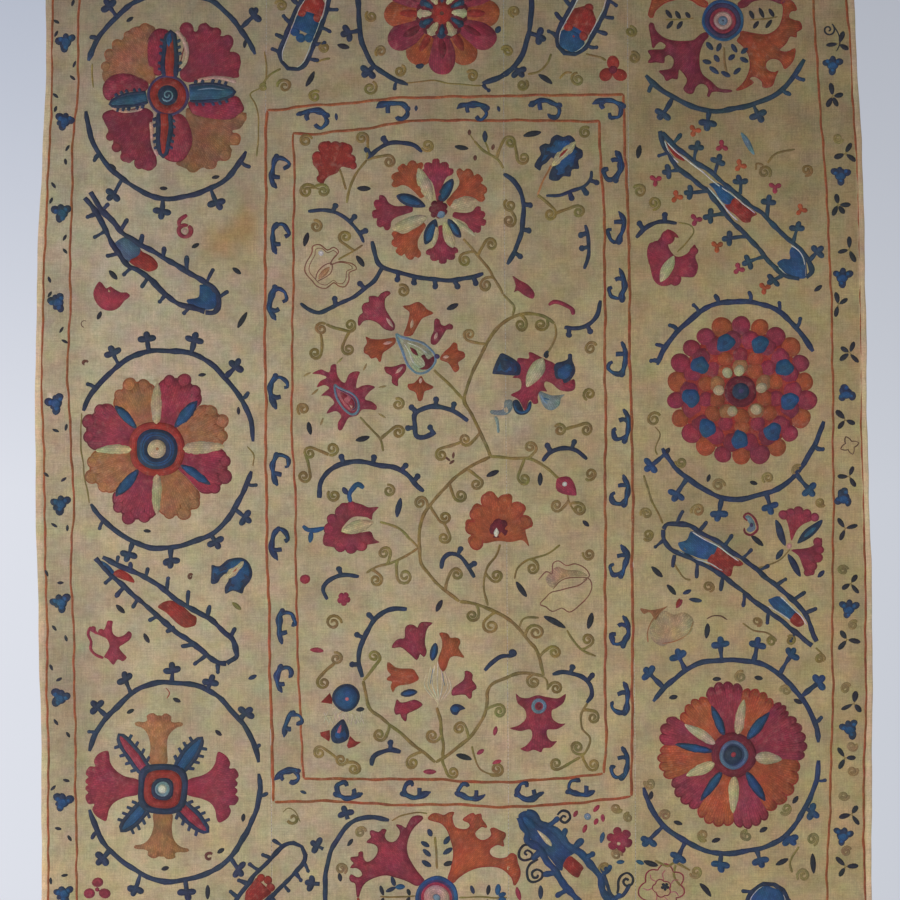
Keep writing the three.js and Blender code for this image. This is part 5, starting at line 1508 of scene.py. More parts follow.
    # worn flower: only its drawn outline is left
    for P in ([(312, 281), (305, 272), (306, 262), (312, 252), (313, 246), (320, 245), (327, 250), (333, 247), (338, 252), (333, 258), (330, 264), (340, 262), (352, 264), (356, 269), (349, 273), (349, 280), (345, 286), (338, 285), (334, 282), (326, 288), (317, 286)],):
        line("drawn", P, 1.5, closed=True)
        Q = np.asarray(P, float)
        line("drawn", Q.mean(0) + (Q - Q.mean(0)) * 0.84, 0.9, closed=True)
    line("drawn", [(315, 280), (317, 272), (323, 265), (331, 263), (331, 271), (325, 277), (317, 281)], 1.3)
    petal("ochre_pale", (318, 279), (329, 266), 7, -0.1)
    disc("white", (321, 253), 3.0, -0.1)
    # bells hung round a pale diamond
    for nm, root, P, slit in (
            ("crimson", (398, 336), [(394.8, 329.2), (391.8, 331), (384, 328.6), (378, 323.2), (370.8, 319.6), (363.6, 320.2), (358.8, 325.6), (357.4, 319.6), (359.4, 314.8), (362.4, 312.4), (361.2, 307.6), (363.6, 303.4), (369, 301.6), (369, 296.8), (374.4, 295.6), (378.6, 296.8), (381.6, 293.2), (387.6, 290.8), (390.8, 293.2), (385.8, 298.6), (385.2, 308.8), (389.4, 317.2), (394.2, 324.4)], (385.4, 317.6, 393, 327.4)),
            ("orange", (407, 344), [(403.8, 335.8), (406.2, 328), (408.6, 318.4), (409.2, 311.8), (402.6, 305.8), (408.6, 305.2), (413.4, 303.4), (418.2, 302.2), (423.6, 305.2), (427.2, 309.4), (433, 313), (427.2, 315.4), (421.2, 318.4), (416.4, 326.8), (412.2, 335.2), (408, 336.6)], (412.4, 319.4, 410.6, 328.8)),
            ("crimson", (430, 350), [(431.4, 344.2), (430.8, 337.6), (433.8, 330.4), (434.4, 319.6), (438.6, 319.6), (441, 324.4), (445.8, 325.6), (450, 323.2), (453.6, 325.6), (452.4, 329.2), (447, 329.2), (443.4, 334), (439.8, 340), (435.6, 344.8)], (437.2, 332, 434.6, 339.6)),
            ("orange", (402, 340), [(394.8, 343), (388.8, 348.4), (382.8, 353.2), (379.8, 362.2), (376.2, 357.4), (370.8, 358), (367.8, 354.4), (363.6, 352), (363.6, 347.2), (366.6, 342.4), (364.8, 336.4), (369, 338.8), (376.8, 339.4), (386.4, 338.2), (394.8, 337.6), (395.6, 340.4)], (382.6, 343.4, 392.2, 341.6)),
            ("crimson", (412, 360), [(406.2, 364.6), (406.2, 370), (402, 375.4), (398.4, 379.6), (398.4, 385.6), (393, 382.6), (392.4, 376), (386.4, 372.4), (384, 367), (390, 367), (396, 365.8), (402, 364)], (395.4, 373.6, 403.6, 366.2)),
            ("orange", (421, 370), [(421.2, 376), (425.4, 382), (433.5, 386.8), (428.4, 389.8), (424.2, 391.6), (421.8, 400), (418.2, 400.4), (415.8, 392.8), (409.2, 389.2), (408, 384.4), (414, 383.8), (418.2, 379.6)], (421.3, 377.8, 420.5, 384)),
            ("orange", (432, 360), [(439.8, 359.8), (444, 352), (450.6, 346.6), (453.6, 342.4), (457.2, 344.2), (458.4, 350.2), (464.4, 352), (465.6, 356.8), (460.8, 360.4), (457.8, 362.8), (459, 368.8), (455.4, 372.6), (452.4, 368.2), (448.2, 362.8)], (442.6, 357.5, 449.4, 356))):
        shape(nm, P, 0.0, radial=root, step=2.0)
        Q = np.asarray(P, float)
        line({"crimson": "crimson_dark"}.get(nm, "red"), Q.mean(0) + (Q - Q.mean(0)) * 0.97, 0.9, 0.2, 2.6, closed=True, wobble=0)
        petal("blush", slit[:2], slit[2:], 3.6, 0.5)
    shape("mist", [(398, 337), (408, 340), (420, 344), (429.6, 349.6), (433.6, 356.5), (433, 363.5), (426.5, 370), (417.6, 372), (411.4, 366.6), (406.8, 358.4), (401.8, 348)], -0.3, radial=(396, 334), step=2.2)
    line("grey_blue", [(396, 333.6), (400.5, 337), (408, 339), (420, 342.6), (429.6, 348.4), (435, 355.6), (434.4, 364), (427.2, 371.2), (417.6, 373.6), (410.4, 367.8), (405.6, 359.2), (400.8, 348.4), (397.5, 340), (396, 333.6)], 2.7, 0.1)
    line("white", [(404, 344), (409, 352), (414, 362), (420, 368)], 1.4, 0.35)
    line("white", [(407, 342.5), (418, 347), (428, 354)], 1.2, 0.35)
    petal("crimson_dark", (409.2, 347.2), (419, 355.8), 4.6, 0.35)
    shape("crimson_dark", [(421.4, 356.2), (425.4, 354.6), (428.4, 359.4), (433.4, 356.8), (434.6, 361.6), (431.2, 367), (424.8, 369.8), (418.8, 369), (424.4, 365.4), (423.8, 360.6)], 0.35, radial=(425, 358), step=2.0)
    disc("purple", (437, 357), 3.0, 0.2)
    # spiky crimson flower with a grey drop
    shape("crimson", [(312, 374.2), (320.4, 369.2), (328.2, 372.2), (330.6, 365.8), (336, 364.2), (336.4, 373.6), (339.6, 379.4), (345, 382), (347.6, 374.8), (352.8, 371.6), (360.2, 372), (358.4, 378.4), (356.6, 387.6), (362.4, 385.6), (369.6, 384.6), (375.2, 386.8), (369.8, 391.8), (365.6, 398.2), (372, 400.8), (377.2, 406), (375.6, 410.2), (369.6, 409.6), (362.4, 409.8), (357.6, 415.8), (349.4, 418.4), (345.6, 424), (342, 430.4), (338, 429.6), (337.6, 422.8), (341.2, 416.8), (336, 411.6), (327, 413.6), (330.4, 407.2), (334.2, 403), (328.8, 397.2), (320.4, 396), (325.2, 391.6), (328.8, 388.8), (324, 385.8), (316.2, 387.6), (319.8, 381.4), (325.8, 377.8), (320.4, 375)], radial=(345, 398), step=2.0)
    shape("crimson_pale", [(336.5, 388), (344, 391), (352, 396), (357.6, 403), (357.4, 409.4), (351.4, 412), (344.4, 406.6), (338.8, 398)], 0.55, radial=(335, 384), step=2.0)
    shape("crimson", [(340.4, 391.4), (347, 394.8), (353.6, 400.4), (355.4, 406.6), (351.4, 409.6), (345.8, 404.6), (341.6, 398.6)], 0.75, radial=(340, 390), step=2.0)
    line("grey_blue", [(334.6, 384.2), (337.4, 387.2), (344, 389.6), (351.8, 393.6), (358.2, 400.6), (359, 408.6), (356, 413.6), (350.8, 414.6), (343.2, 408.6), (337.2, 398.8), (335, 390), (334.6, 384.2)], 2.5, 0.95)
    line("purple", [(340, 389.8), (348, 394), (355, 401), (356, 408), (351.6, 411)], 1.3, 0.95)
    petal("blush", (350, 402), (352.6, 409), 3.4, 0.95)
    for x, y, d in ((339.6, 360.6, 45), (307, 375, 25), (382.8, 386.4, 10), (381.6, 415.2, 150), (322, 421.6, 70), (314.4, 391.8, 40), (365, 366.5, 70)):
        dash(x, y, d, 9, 2.6, "olive_pale")
    # worn blue and crimson flower
    shape("crimson", [(516, 361), (518, 358), (528, 358.5), (528, 353), (531, 352), (542, 357.5), (547, 360), (554, 363), (560, 370), (568, 380), (575, 379), (575, 389), (569, 392), (560, 390.5), (553, 385), (546, 382), (545, 386), (548, 392), (541, 391), (538, 396), (539, 403), (534, 404), (530, 400), (525.5, 411), (518.5, 400), (511, 394.5), (520, 389), (520, 379), (512, 377), (517, 372)], radial=(536, 374), step=2.0)
    petal("cream", (526.5, 387), (543.5, 358.5), 15.5, 0.72, power=0.7, skew=0.62)
    shape("navy", [(501.5, 352.5), (498, 357), (492, 371.5), (495, 374.5), (512, 375), (520, 374.5), (520.5, 366), (513.5, 359), (506, 354)], 0.3, radial=(520, 370), step=2.0)
    shape("blue", [(502, 357), (500, 361), (496.5, 371), (505, 372.5), (516, 371.5), (516, 366), (510, 360.5)], 0.62, radial=(520, 370), step=2.0)
    shape("navy", [(556, 363), (563, 361), (567.5, 359), (568, 354.5), (572, 354.5), (572.5, 361), (576, 369), (575, 375), (567.5, 383), (560, 382), (553.5, 377), (553, 369)], 0.34, radial=(555, 372), step=2.0)
    shape("blue", [(558, 367), (564, 364), (570, 364.5), (573, 370), (571, 376), (565, 379.5), (559, 378), (556, 373)], 0.66, radial=(555, 372), step=2.0)
    shape("navy", [(513, 401), (518, 400), (522, 406), (525.5, 411), (529, 402), (532, 401), (532, 408), (528, 413), (522, 414.5), (516, 413), (513, 408)], 0.34, radial=(524, 400), step=2.0)
    line("blue", [(515, 403), (516, 409), (522, 412), (529, 409), (531, 403)], 2.6, 0.6)
    # the paler silk here is worn to a haze
    shape("haze", [(538, 390), (546, 393), (553, 395.5), (565, 394.5), (561, 399), (560, 405), (553, 410), (546, 408.5), (541, 401)], -0.1, radial=(540, 385), step=2.2)
    line("grey_blue", [(541, 394), (546, 402), (555, 404)], 2.4, 0.25)
    line("blue", [(544, 398), (550, 400)], 1.8, 0.3)
    shape("haze", [(505, 400), (512, 399.5), (512.5, 408), (506, 415), (492, 414.5), (491.5, 410), (503, 408.5)], -0.1, radial=(520, 390), step=2.2)
    line("haze", [(495.5, 416), (498, 425), (499, 433)], 3.4)
    petal("ink", (546, 359), (547, 352.5), 5.0, 0.4)
    # crimson and dark arcs at the upper right
    branch([(549, 305), (554, 302), (562, 303), (571, 308), (573, 315)], (), 4.6, name="crimson")
    shape("crimson", [(512, 276), (519, 280), (529, 285), (535, 293), (533, 299), (525, 296), (518, 291), (514, 293), (515, 286)], radial=(523, 292))
    # orange scalloped palmette
    lobes = []
    for k in range(7):
        a = 208 - 33.5 * k
        for da, r in ((12, 27.5), (6, 33), (-1, 34.5), (-8, 33), (-14, 27.5)):
            lobes.append(one((499, 527), r + (3 if k == 3 else 0), a + da))
    base = [(529, 547), (522, 541), (510, 542), (498, 541), (487, 543), (480, 543), (477, 551)]
    shape("orange", lobes + base, radial=(499, 540), step=2.2)
    for k in range(7):
        q = one((499, 528), 26.5 + (3 if k == 3 else 0), 200 - 33.5 * k + 13)
        disc("orange", q, 7.6, 0.06, n=14)
        ring("red", q, 6.2, 7.6, 0.18, n=18)
    shape("crimson_dark", [(488, 529), (490, 521), (498, 517), (507, 521), (509, 530), (504, 537), (492, 537)], 0.3, radial=(499, 535))
    petal("white", (497, 537), (497, 527), 6.0, 0.6)
    # crimson flower with cream eye and blue sprigs
    shape("crimson", [(324, 545), (324, 536), (328, 526), (327, 519), (334, 517), (337, 509), (341, 503), (350, 503), (356, 502), (363, 504), (369, 507), (379, 507), (373, 514), (372, 520), (365, 517), (352, 518), (342, 530), (360, 532), (371, 531), (374, 538), (379, 542), (369, 544), (364, 546), (359, 551), (350, 548), (342, 551), (334, 548)], radial=(350, 528), step=2.2)
    for q in ((341, 511), (333, 519), (330, 529), (331, 539), (340, 546), (351, 548), (361, 545), (352, 507)):
        disc("crimson", q, 6.2, 0.04, n=12)
        ring("crimson_dark", q, 5.0, 6.2, 0.14, n=14)
    petal("cream", (341, 531), (374, 522), 13, 0.5, power=0.75)
    branch([(351, 503), (349, 495), (353, 488), (358, 484), (364, 488)], (), 5.0, name="blue")
    dash(345, 491, 120, 9, 6, "navy")
    branch([(325, 528), (316, 530), (308, 530), (303, 526)], (), 5.0, name="blue")
    dash(311, 537, 80, 13, 6, "blue")
    petal("crimson", (577, 495), (557, 478), 19, 0.0, skew=0.65)
    disc("white", (565, 484), 3.0, 0.5)
    # drawn outline of a worn palmette
    line("drawn", [(538, 580), (546, 572), (552, 574), (553, 564), (559, 561), (566, 566), (575, 564), (585, 568), (590, 576), (584, 580)], 1.4)
    line("drawn", [(553, 589), (560, 582), (572, 578), (588, 578), (592, 586), (588, 597), (580, 606), (570, 612), (562, 608), (553, 612), (546, 607), (540, 604), (546, 598), (552, 592), (564, 590), (578, 586), (588, 579)], 1.4)
    shape("faded", [(545, 579), (556, 567), (566, 570), (580, 570), (588, 576), (572, 577), (560, 581), (552, 588)], -0.2, radial=(570, 590))
    # bouquet
    for nm, P, root in (
            ("crimson", [(391, 647.5), (397, 639.5), (404, 638), (404.5, 630), (406, 625.5), (410, 623.8), (414, 625), (417, 627.5), (421, 622), (432, 622), (428, 625.5), (425.5, 632), (425, 644), (426.5, 651.5), (424, 657), (420, 653.5), (417, 660), (412, 656), (407, 652), (400, 647.5)], (424, 668)),
            ("orange", [(439.5, 633), (447, 633), (450, 637.5), (455, 637.2), (459.5, 639), (460.5, 643), (458.5, 647.5), (461.5, 653), (464.5, 657.5), (457.5, 656.3), (450.5, 658), (446.5, 667), (443.3, 671), (440, 667), (438.3, 659), (441.5, 648), (441.5, 639)], (442, 682)),
            ("orange", [(387, 662), (390, 663), (395, 667), (402, 668.6), (413, 668.6), (417, 673.5), (418.8, 679), (410, 684), (399.5, 685.5), (395, 689), (393.3, 693), (391.3, 687.5), (392.3, 682), (387, 680.6), (388, 677.5), (391, 675), (387, 670)], (430, 680)),
            ("crimson", [(451.5, 695), (453.3, 687.5), (463, 680.5), (465, 675), (465, 671), (469.5, 671), (473, 674.5), (472, 679.5), (475.5, 684.5), (476, 688.5), (472.3, 691), (471.5, 697), (469, 698.5), (466, 694.5), (459.5, 694)], (446, 698)),
            ("crimson", [(397, 699.5), (400.3, 702.4), (407, 702.4), (415.5, 700.3), (422.5, 704.3), (418, 709), (412, 712), (407.3, 714.3), (406.5, 720.5), (405, 721.6), (402, 717.4), (400.5, 713.5), (396.5, 714.3), (394.5, 709.7), (395.3, 704.3)], (428, 704))):
        shape(nm, P, 0.0, radial=root, step=2.0)
        Q = np.asarray(P, float)
        line({"crimson": "crimson_dark"}.get(nm, "rust"), Q.mean(0) + (Q - Q.mean(0)) * 0.97, 1.0, 0.2, 2.6, closed=True, wobble=0)
    for P in ([(431, 666), (429, 684), (437, 702)], [(445, 670), (448, 686), (440, 702)], [(438, 660), (438, 680), (438, 706)], [(435, 664), (433, 682), (437, 700)], [(441, 664), (443, 682), (439, 700)], [(427, 672), (425, 684), (433, 698)], [(449, 676), (451, 688), (443, 700)]):
        line("thread", P, 1.6, -0.1)
    for P in ([(433, 668), (431, 684)], [(443, 672), (445, 686)]):
        line("grey_blue", P, 1.0, 0.0)
    shape("navy", [(450, 708), (454, 703.6), (460, 704), (465, 708.6), (460, 710.6), (457, 714.6), (452, 713.6)], 0.0, radial=(456, 708), step=2.0)
    disc("blue", (455.5, 708.6), 4.2, 0.4, squash=0.85)
    # tiered crimson flower
    shape("crimson", [(515, 693), (520, 697), (528, 698), (538, 695), (548, 697), (558, 698), (566, 693), (564, 702), (556, 709), (552, 711), (553, 718), (560, 723), (566, 724), (558, 729), (548, 730), (548, 737), (552, 741), (557, 741), (551, 748), (544, 749), (541, 753), (534, 750), (527, 751), (520, 748), (527, 744), (532, 738), (530, 730), (520, 731), (510, 728), (519, 725), (526, 718), (525, 710), (517, 703)], radial=(540, 690), step=2.0)
    ring("grey_blue", (539, 706), 4.0, 7.8, 0.85)
    disc("crimson_dark", (539, 706), 3.4, 0.7)
    # blue balls with red points
    disc("navy", (346, 697), 14, 0.0)
    disc("blue", (346, 697), 11.5, 0.3)
    disc("crimson_pale", (347, 698), 3.2, 0.6)
    shape("red", [(320, 702), (330, 692), (333, 699), (332, 704)], 0.05, radial=(330, 698), smoothly=False, step=2)
    shape("navy", [(331, 731), (336, 724), (344, 718), (349, 728), (349, 738), (341, 743), (333, 741)], radial=(341, 733))
    shape("blue", [(335, 731), (342, 722), (346, 730), (346, 738), (340, 740), (335, 738)], 0.3, radial=(341, 733))
    petal("crimson_pale", (338, 736), (342, 724), 4, 0.6)
    shape("red", [(320, 732), (330, 729), (331, 736), (330, 741), (321, 736)], 0.05, radial=(330, 735), smoothly=False, step=2)
    shape("red", [(347, 745), (350, 735), (356, 740), (362, 741), (355, 746), (349, 748)], 0.05, radial=(350, 740), smoothly=False, step=2)
    for x, y, d in ((328, 716, 10), (340, 712, 40), (355, 718, 100), (362, 730, 60), (352, 712, 150), (336, 707, 20)):
        dash(x, y, d, 11, 2.2, "cream")
    for k in range(9):
        line("thread", [(324 + 4.6 * k, 712 + 2 * math.sin(k * 1.9)), (329 + 4.4 * k, 722 + 2 * math.sin(k * 2.7))], 1.2, -0.1, wobble=0)
        line("thread", [(328 + 4.4 * k, 711 + 2 * math.sin(k * 2.1)), (324 + 4.6 * k, 723 + 2 * math.sin(k * 1.3))], 1.0, -0.1, wobble=0)

    # tendrils
    for x, y in ((361, 138), (389, 161), (428, 145), (306, 191), (316, 226), (345, 237), (510, 142), (523, 158), (585, 132), (510, 205), (510, 220),
                 (550, 214), (578, 212), (465, 260), (491, 245), (403, 291), (486, 285), (322, 329), (350, 325), (315, 353), (348, 349), (470, 334),
                 (521, 325), (541, 325), (303, 409), (398, 404), (398, 432), (466, 440), (442, 455), (332, 449), (310, 453), (304, 476), (560, 430),
                 (586, 430), (530, 447), (591, 348), (590, 394), (591, 474), (524, 479), (476, 484), (460, 495), (389, 491), (334, 495), (420, 503),
                 (444, 517), (444, 538), (557, 505), (579, 509), (384, 553), (405, 576), (376, 580), (457, 575), (496, 575), (532, 568), (589, 554),
                 (334, 623), (336, 658), (323, 682), (374, 657), (472, 616), (491, 626), (536, 632), (554, 652), (587, 640), (533, 682), (556, 688),
                 (499, 711), (593, 717), (459, 728), (432, 736), (380, 734), (412, 763), (453, 772), (341, 759), (320, 753), (354, 768), (497, 768),
                 (556, 764), (577, 747), (593, 764), (306, 141), (323, 191)):
        big = 8.4 if (x, y) in ((334, 623), (405, 576), (536, 632), (491, 626)) else 6.6
        tendril(x, y, big)


frame_lines()
centre()
rosette_a()
rosette_b()
rosette_d()
rosette_e()
rosette_f()
rosette_g()
rosette_h()
rosette_i()
field()
borders()

# seams: small slanting stitches over the joined selvedges
for k in range(3):
    for z in np.arange(6.0, HEIGHT - 6, 6.2):
        x = seam_x(z)[k] / 1000 / UNIT + MIDX
        y = z / 1000 / UNIT + TOPY
        if k == 0 and 108 < y < 803:
            continue            # the frame line covers this seam
        line("seam", [(x - 0.6, y + 0.6), (x + 0.6, y - 0.6)], 0.7, -0.2, raw=True, wobble=0, taper=(1, 1))

SILK_OBJECTS = {k: s.build() for k, s in SILKS.items()}


# ------------------------------------------------------- the cotton lengths
# where the cloth is marked, with stains and with patches of painted shade and light: x, y, half sizes, turn (design
# units, degrees), colour it is multiplied by, strength
STAINS_AND_PAINTED_SHADE = [
    (247, 222, 11, 17, 0, (.98, .78, .50), .60), (208, 240, 8, 22, 0, (.96, .82, .60), .45), (233, 258, 17, 9, -30, (.97, .79, .54), .50), (228, 236, 16, 8, 30, (.97, .80, .55), .40),
    (230, 233, 24, 14, 35, (.96, .74, .46), .50), (222, 250, 12, 9, 0, (.96, .72, .45), .35), (246, 244, 9, 12, 0, (.96, .72, .45), .35), (545, 345, 30, 70, 0, (.99, .86, .66), .32),
    (340, 85, 26, 16, 0, (.98, .82, .60), .35), (205, 800, 44, 120, 8, (.92, .93, .84), .28),
    (90, 900, 70, 60, 0, (1.0, .90, .72), .34), (850, 860, 26, 120, 0, (1.0, .93, .80), .30),
    # the grey rows here darken the cloth and the pale bluish one lightens it; the darkening at the top right is painted
    # shade
    (115, 250, 90, 140, 20, (1.12, 1.17, 1.32), .75), (715, 520, 60, 50, 0, (.74, .74, .74), .80), (810, 180, 40, 60, 0, (.84, .85, .88), .7),
    (513, 428, 16, 26, 0, (1.0, 1.05, 1.25), .7), (526, 402, 34, 18, 0, (1.0, 1.03, 1.15), .5), (345, 716, 26, 14, 0, (1.08, 1.14, 1.30), .6), (300, 200, 60, 120, 0, (1.0, .99, .98), .4),
    (680, 200, 120, 140, 0, (.96, .95, .90), .45), (480, 120, 120, 40, 0, (.96, .92, .86), .40),
    (740, 600, 80, 60, 20, (.95, .94, .90), .40), (560, 470, 60, 50, 0, (.98, .93, .85), .35),
    (420, 640, 110, 90, 0, (1.02, 1.0, .97), .5), (60, 640, 40, 160, 0, (.82, .82, .86), .85),
    (860, 300, 22, 220, 0, (.97, .94, .88), .5), (520, 620, 60, 50, 0, (1.0, .92, .80), .26),
    (350, 300, 80, 60, 30, (1.03, 1.0, .98), .5), (640, 300, 16, 220, 0, (.97, .92, .82), .35),
    (600, 900, 120, 60, 0, (1.03, .99, .92), .5), (300, 560, 14, 260, 0, (.97, .93, .84), .3),
    # painted shade and light: darker at the top right and along the top, lighter at the left
    (730, 130, 130, 150, 0, (.90, .89, .865), .85), (120, 430, 130, 130, 0, (1.05, 1.05, 1.07), .8), (440, 100, 120, 110, 0, (.97, .965, .93), .8),
    (505, 870, 26, 40, 0, (1.03, 1.06, 1.10), .7), (440, 450, 70, 60, 0, (1.04, 1.02, 1.0), .5), (760, 480, 70, 40, 0, (.97, .97, .96), .4),
]
# painted glints: bright bluish-white dots where the clear pins holding the sides catch the light
PAINTED_PIN_GLINTS = [(51, 396, 1.8), (846, 393, 1.6)]


def ground_tone(x, drop):
    """Colour of the undyed cotton: yellowed by age, unevenly, and stained, with painted shade and light across it and
    painted glints at the pins.
    """
    u, v = x / 1000 / UNIT + MIDX, drop / 1000 / UNIT + TOPY
    col = np.ones(x.shape + (3,))
    for cx, cy, a, b, turn, c, k in STAINS_AND_PAINTED_SHADE:
        t = math.radians(turn)
        p = ((u - cx) * math.cos(t) - (v - cy) * math.sin(t)) / a
        q = ((u - cx) * math.sin(t) + (v - cy) * math.cos(t)) / b
        m = (k * np.exp(-(p * p + q * q) * 0.9))[..., None]
        col = col * (1 - m + m * np.asarray(c))
    # painted shade: darker upwards and to the right, where the light falls off across the hanging; to the right the
    # cloth is also made yellower
    up = smooth((420 - v) / 520)[..., None]
    side = smooth((u - 330) / 480)[..., None]
    col = col * (1 - up * np.array([.28, .28, .24])) * (1 - side * np.array([.03, .08, .22]))
    # the sewn edges have yellowed more, and the seams are rubbed pale
    left, right = np.interp(drop, OUTLINE[:, 0], OUTLINE[:, 1]), np.interp(drop, OUTLINE[:, 0], OUTLINE[:, 2])
    e = np.minimum(np.minimum(x - left, right - x), np.minimum(drop, HEIGHT - drop))
    m = (smooth((13 - e) / 5))[..., None]
    col = col * (1 - m + m * (np.array([1.50, 1.40, 1.38]) + smooth((x + 200) / 500)[..., None] * np.array([0.0, .08, .36])))
    for s in seam_x(drop):
        m = np.exp(-((x - s) / 2.0) ** 2)[..., None]
        col = col * (1 + 0.08 * m)
    # painted glints of the pins, laid over the cotton's colour
    for cx, cy, r in PAINTED_PIN_GLINTS:
        m = smooth(1.6 - np.hypot(u - cx, v - cy) / r)[..., None]
        col = col * (1 - m) + m * np.array([1.9, 2.0, 2.3])
    return col


def stops(width, fine, gap, extra=()):
    """Distances across a width: close together at both ends, then evenly spread."""
    mid = np.linspace(fine[-1], width - fine[-1], int(round((width - 2 * fine[-1]) / gap)) + 1)
    s = np.concatenate([fine, mid[1:-1], width - np.asarray(fine[::-1])])
    return s / width


def cotton(name, left, right, hem_left, hem_right):
    drop = stops(HEIGHT, [0, .5, 2.2, 6, 9.5, 11.5, 15, 22], 9.0) * HEIGHT
    drop = np.sort(np.concatenate([drop, [907.5, 910.5, 913, 915.5, 918.5]]))
    w = float(np.mean(right(drop) - left(drop)))
    side = {True: [0, .5, 2.2, 6, 9.0, 11.0, 14, 19], False: [0, .5, 1.6, 2.8, 4.4, 6.6, 10, 15]}
    a, b = side[hem_left], side[hem_right]
    mid = np.linspace(a[-1], w - b[-1], int(round((w - a[-1] - b[-1]) / 7.6)) + 1)
    s = np.concatenate([a, mid[1:-1], w - np.asarray(b[::-1])]) / w
    L, R = left(drop)[:, None], right(drop)[:, None]
    x = L + (R - L) * s[None]
    if hem_left:       # hand-turned edges wander a little
        x = x + (np.sin(drop / 37) * 0.5 + np.sin(drop / 13.0) * 0.25)[:, None] * smooth(1 - (x - L) / 25)
    if hem_right:
        x = x + (np.sin(drop / 31 + 1) * 0.5 + np.sin(drop / 11.5) * 0.25)[:, None] * smooth(1 - (R - x) / 25)
    z = np.repeat(drop[:, None], len(s), 1)
    z = z + np.sin(x / 41) * 0.5 * smooth(1 - np.minimum(z, HEIGHT - z) / 25)
    z = np.clip(z, 0, HEIGHT)
    n, m = x.shape
    f = relief(x, np.clip(z, 0, HEIGHT))
    edge = np.minimum(z, HEIGHT - z)
    if hem_left:
        edge = np.minimum(edge, x - L)
    if hem_right:
        edge = np.minimum(edge, R - x)
    fold = smooth((11.2 - edge) / 2.2)
    groove = np.exp(-((edge - 9.8) / 1.6) ** 2)
    front = -f - THICK - 0.75 * fold + 0.45 * groove
    back = -f + 0.45 * fold
    rim = np.zeros((n, m), bool)
    rim[0] = rim[-1] = rim[:, 0] = rim[:, -1] = True
    near = np.zeros((n, m), bool)
    near[1] = near[-2] = near[:, 1] = near[:, -2] = True
    mid_y = (front + back) / 2
    front = np.where(near & ~rim, front * 0.86 + mid_y * 0.14, front)
    back = np.where(near & ~rim, back * 0.86 + mid_y * 0.14, back)
    front = np.where(rim, mid_y, front)
    V = np.stack([x, front, -z], -1).reshape(-1, 3)
    inner = np.flatnonzero(~rim.ravel())
    Vb = np.stack([x.ravel()[inner], back.ravel()[inner], -z.ravel()[inner]], -1)
    bk = np.arange(n * m)
    bk[inner] = n * m + np.arange(len(inner))
    I, J = np.meshgrid(np.arange(n - 1), np.arange(m - 1), indexing="ij")
    q = np.stack([I * m + J, (I + 1) * m + J, (I + 1) * m + J + 1, I * m + J + 1], -1).reshape(-1, 4)
    faces = np.concatenate([q, bk[q][:, ::-1]])
    co = np.concatenate([V, Vb]) / 1000
    me = bpy.data.meshes.new(name)
    me.vertices.add(len(co))
    me.vertices.foreach_set("co", co.astype(np.float32).ravel())
    me.loops.add(faces.size)
    me.loops.foreach_set("vertex_index", faces.ravel().astype(np.int32))
    me.polygons.add(len(faces))
    me.polygons.foreach_set("loop_start", (np.arange(len(faces)) * 4).astype(np.int32))
    loops = faces.ravel()
    sheet = me.uv_layers.new(name="OFBake")
    side = np.repeat([0, 1], [q.size, q.size])
    u = (co[loops, 0] + 0.72) / 1.45 * 0.49 + 0.005 + 0.5 * side
    v = 1.0 + co[loops, 2] / 1.97 * 0.99 - 0.004
    sheet.data.foreach_set("uv", np.column_stack([u, v]).astype(np.float32).ravel())
    me.update(calc_edges=True)
    tone = ground_tone(x, z).reshape(-1, 3)
    tone = np.concatenate([tone, tone[inner] * np.array([1.06, 1.06, 1.08])])
    col = me.color_attributes.new(name="tone", type='FLOAT_COLOR', domain='POINT')
    col.data.foreach_set("color", np.column_stack([tone, np.ones(len(tone))]).astype(np.float32).ravel())
    me.polygons.foreach_set("use_smooth", np.ones(len(faces), bool))
    return add_object(me)


def outer(k):
    return lambda d: np.interp(d, OUTLINE[:, 0], OUTLINE[:, k])


def seam(k, off):
    return lambda d: seam_x(d)[k] + off


GAP = 0.15
LENGTHS = [
    ("length_left", "panel_left", outer(1), seam(0, -GAP), True, False, 0.392),
    ("length_centre_left", "panel_centre_left", seam(0, GAP), seam(1, -GAP), False, False, 0.408),
    ("length_centre_right", "panel_centre_right", seam(1, GAP), seam(2, -GAP), False, False, 0.216),
    ("length_right", "panel_right", seam(2, GAP), outer(2), False, True, 0.402),
]
COTTON = []
for name, node, lf, rf, hl, hr, flat in LENGTHS:
    COTTON.append((cotton(name, lf, rf, hl, hr), node, flat))


# ------------------------------------------------------------------ finishes
def tree(mat):
    mat.use_nodes = True
    nt = mat.node_tree
    nt.nodes.clear()
    out = nt.nodes.new("ShaderNodeOutputMaterial")
    bsdf = nt.nodes.new("ShaderNodeBsdfPrincipled")
    nt.links.new(bsdf.outputs["BSDF"], out.inputs["Surface"])
    return nt, bsdf


def maths(nt, op, a, b=None, c=None):
    n = nt.nodes.new("ShaderNodeMath")
    n.operation = op
    for k, v in enumerate((a, b, c)):
        if v is None:
            continue
        if isinstance(v, (int, float)):
            n.inputs[k].default_value = v
        else:
            nt.links.new(v, n.inputs[k])
    return n.outputs[0]


def noise(nt, vector, scale, detail=2.0, rough=0.5, out="Fac"):
    n = nt.nodes.new("ShaderNodeTexNoise")
    n.inputs["Scale"].default_value = scale
    n.inputs["Detail"].default_value = detail
    n.inputs["Roughness"].default_value = rough
    nt.links.new(vector, n.inputs["Vector"])
    return n.outputs[out]


def scaled(nt, vector, s, turn=(0, 0, 0)):
    n = nt.nodes.new("ShaderNodeMapping")
    n.inputs["Scale"].default_value = s
    n.inputs["Rotation"].default_value = turn
    nt.links.new(vector, n.inputs["Vector"])
    return n.outputs["Vector"]


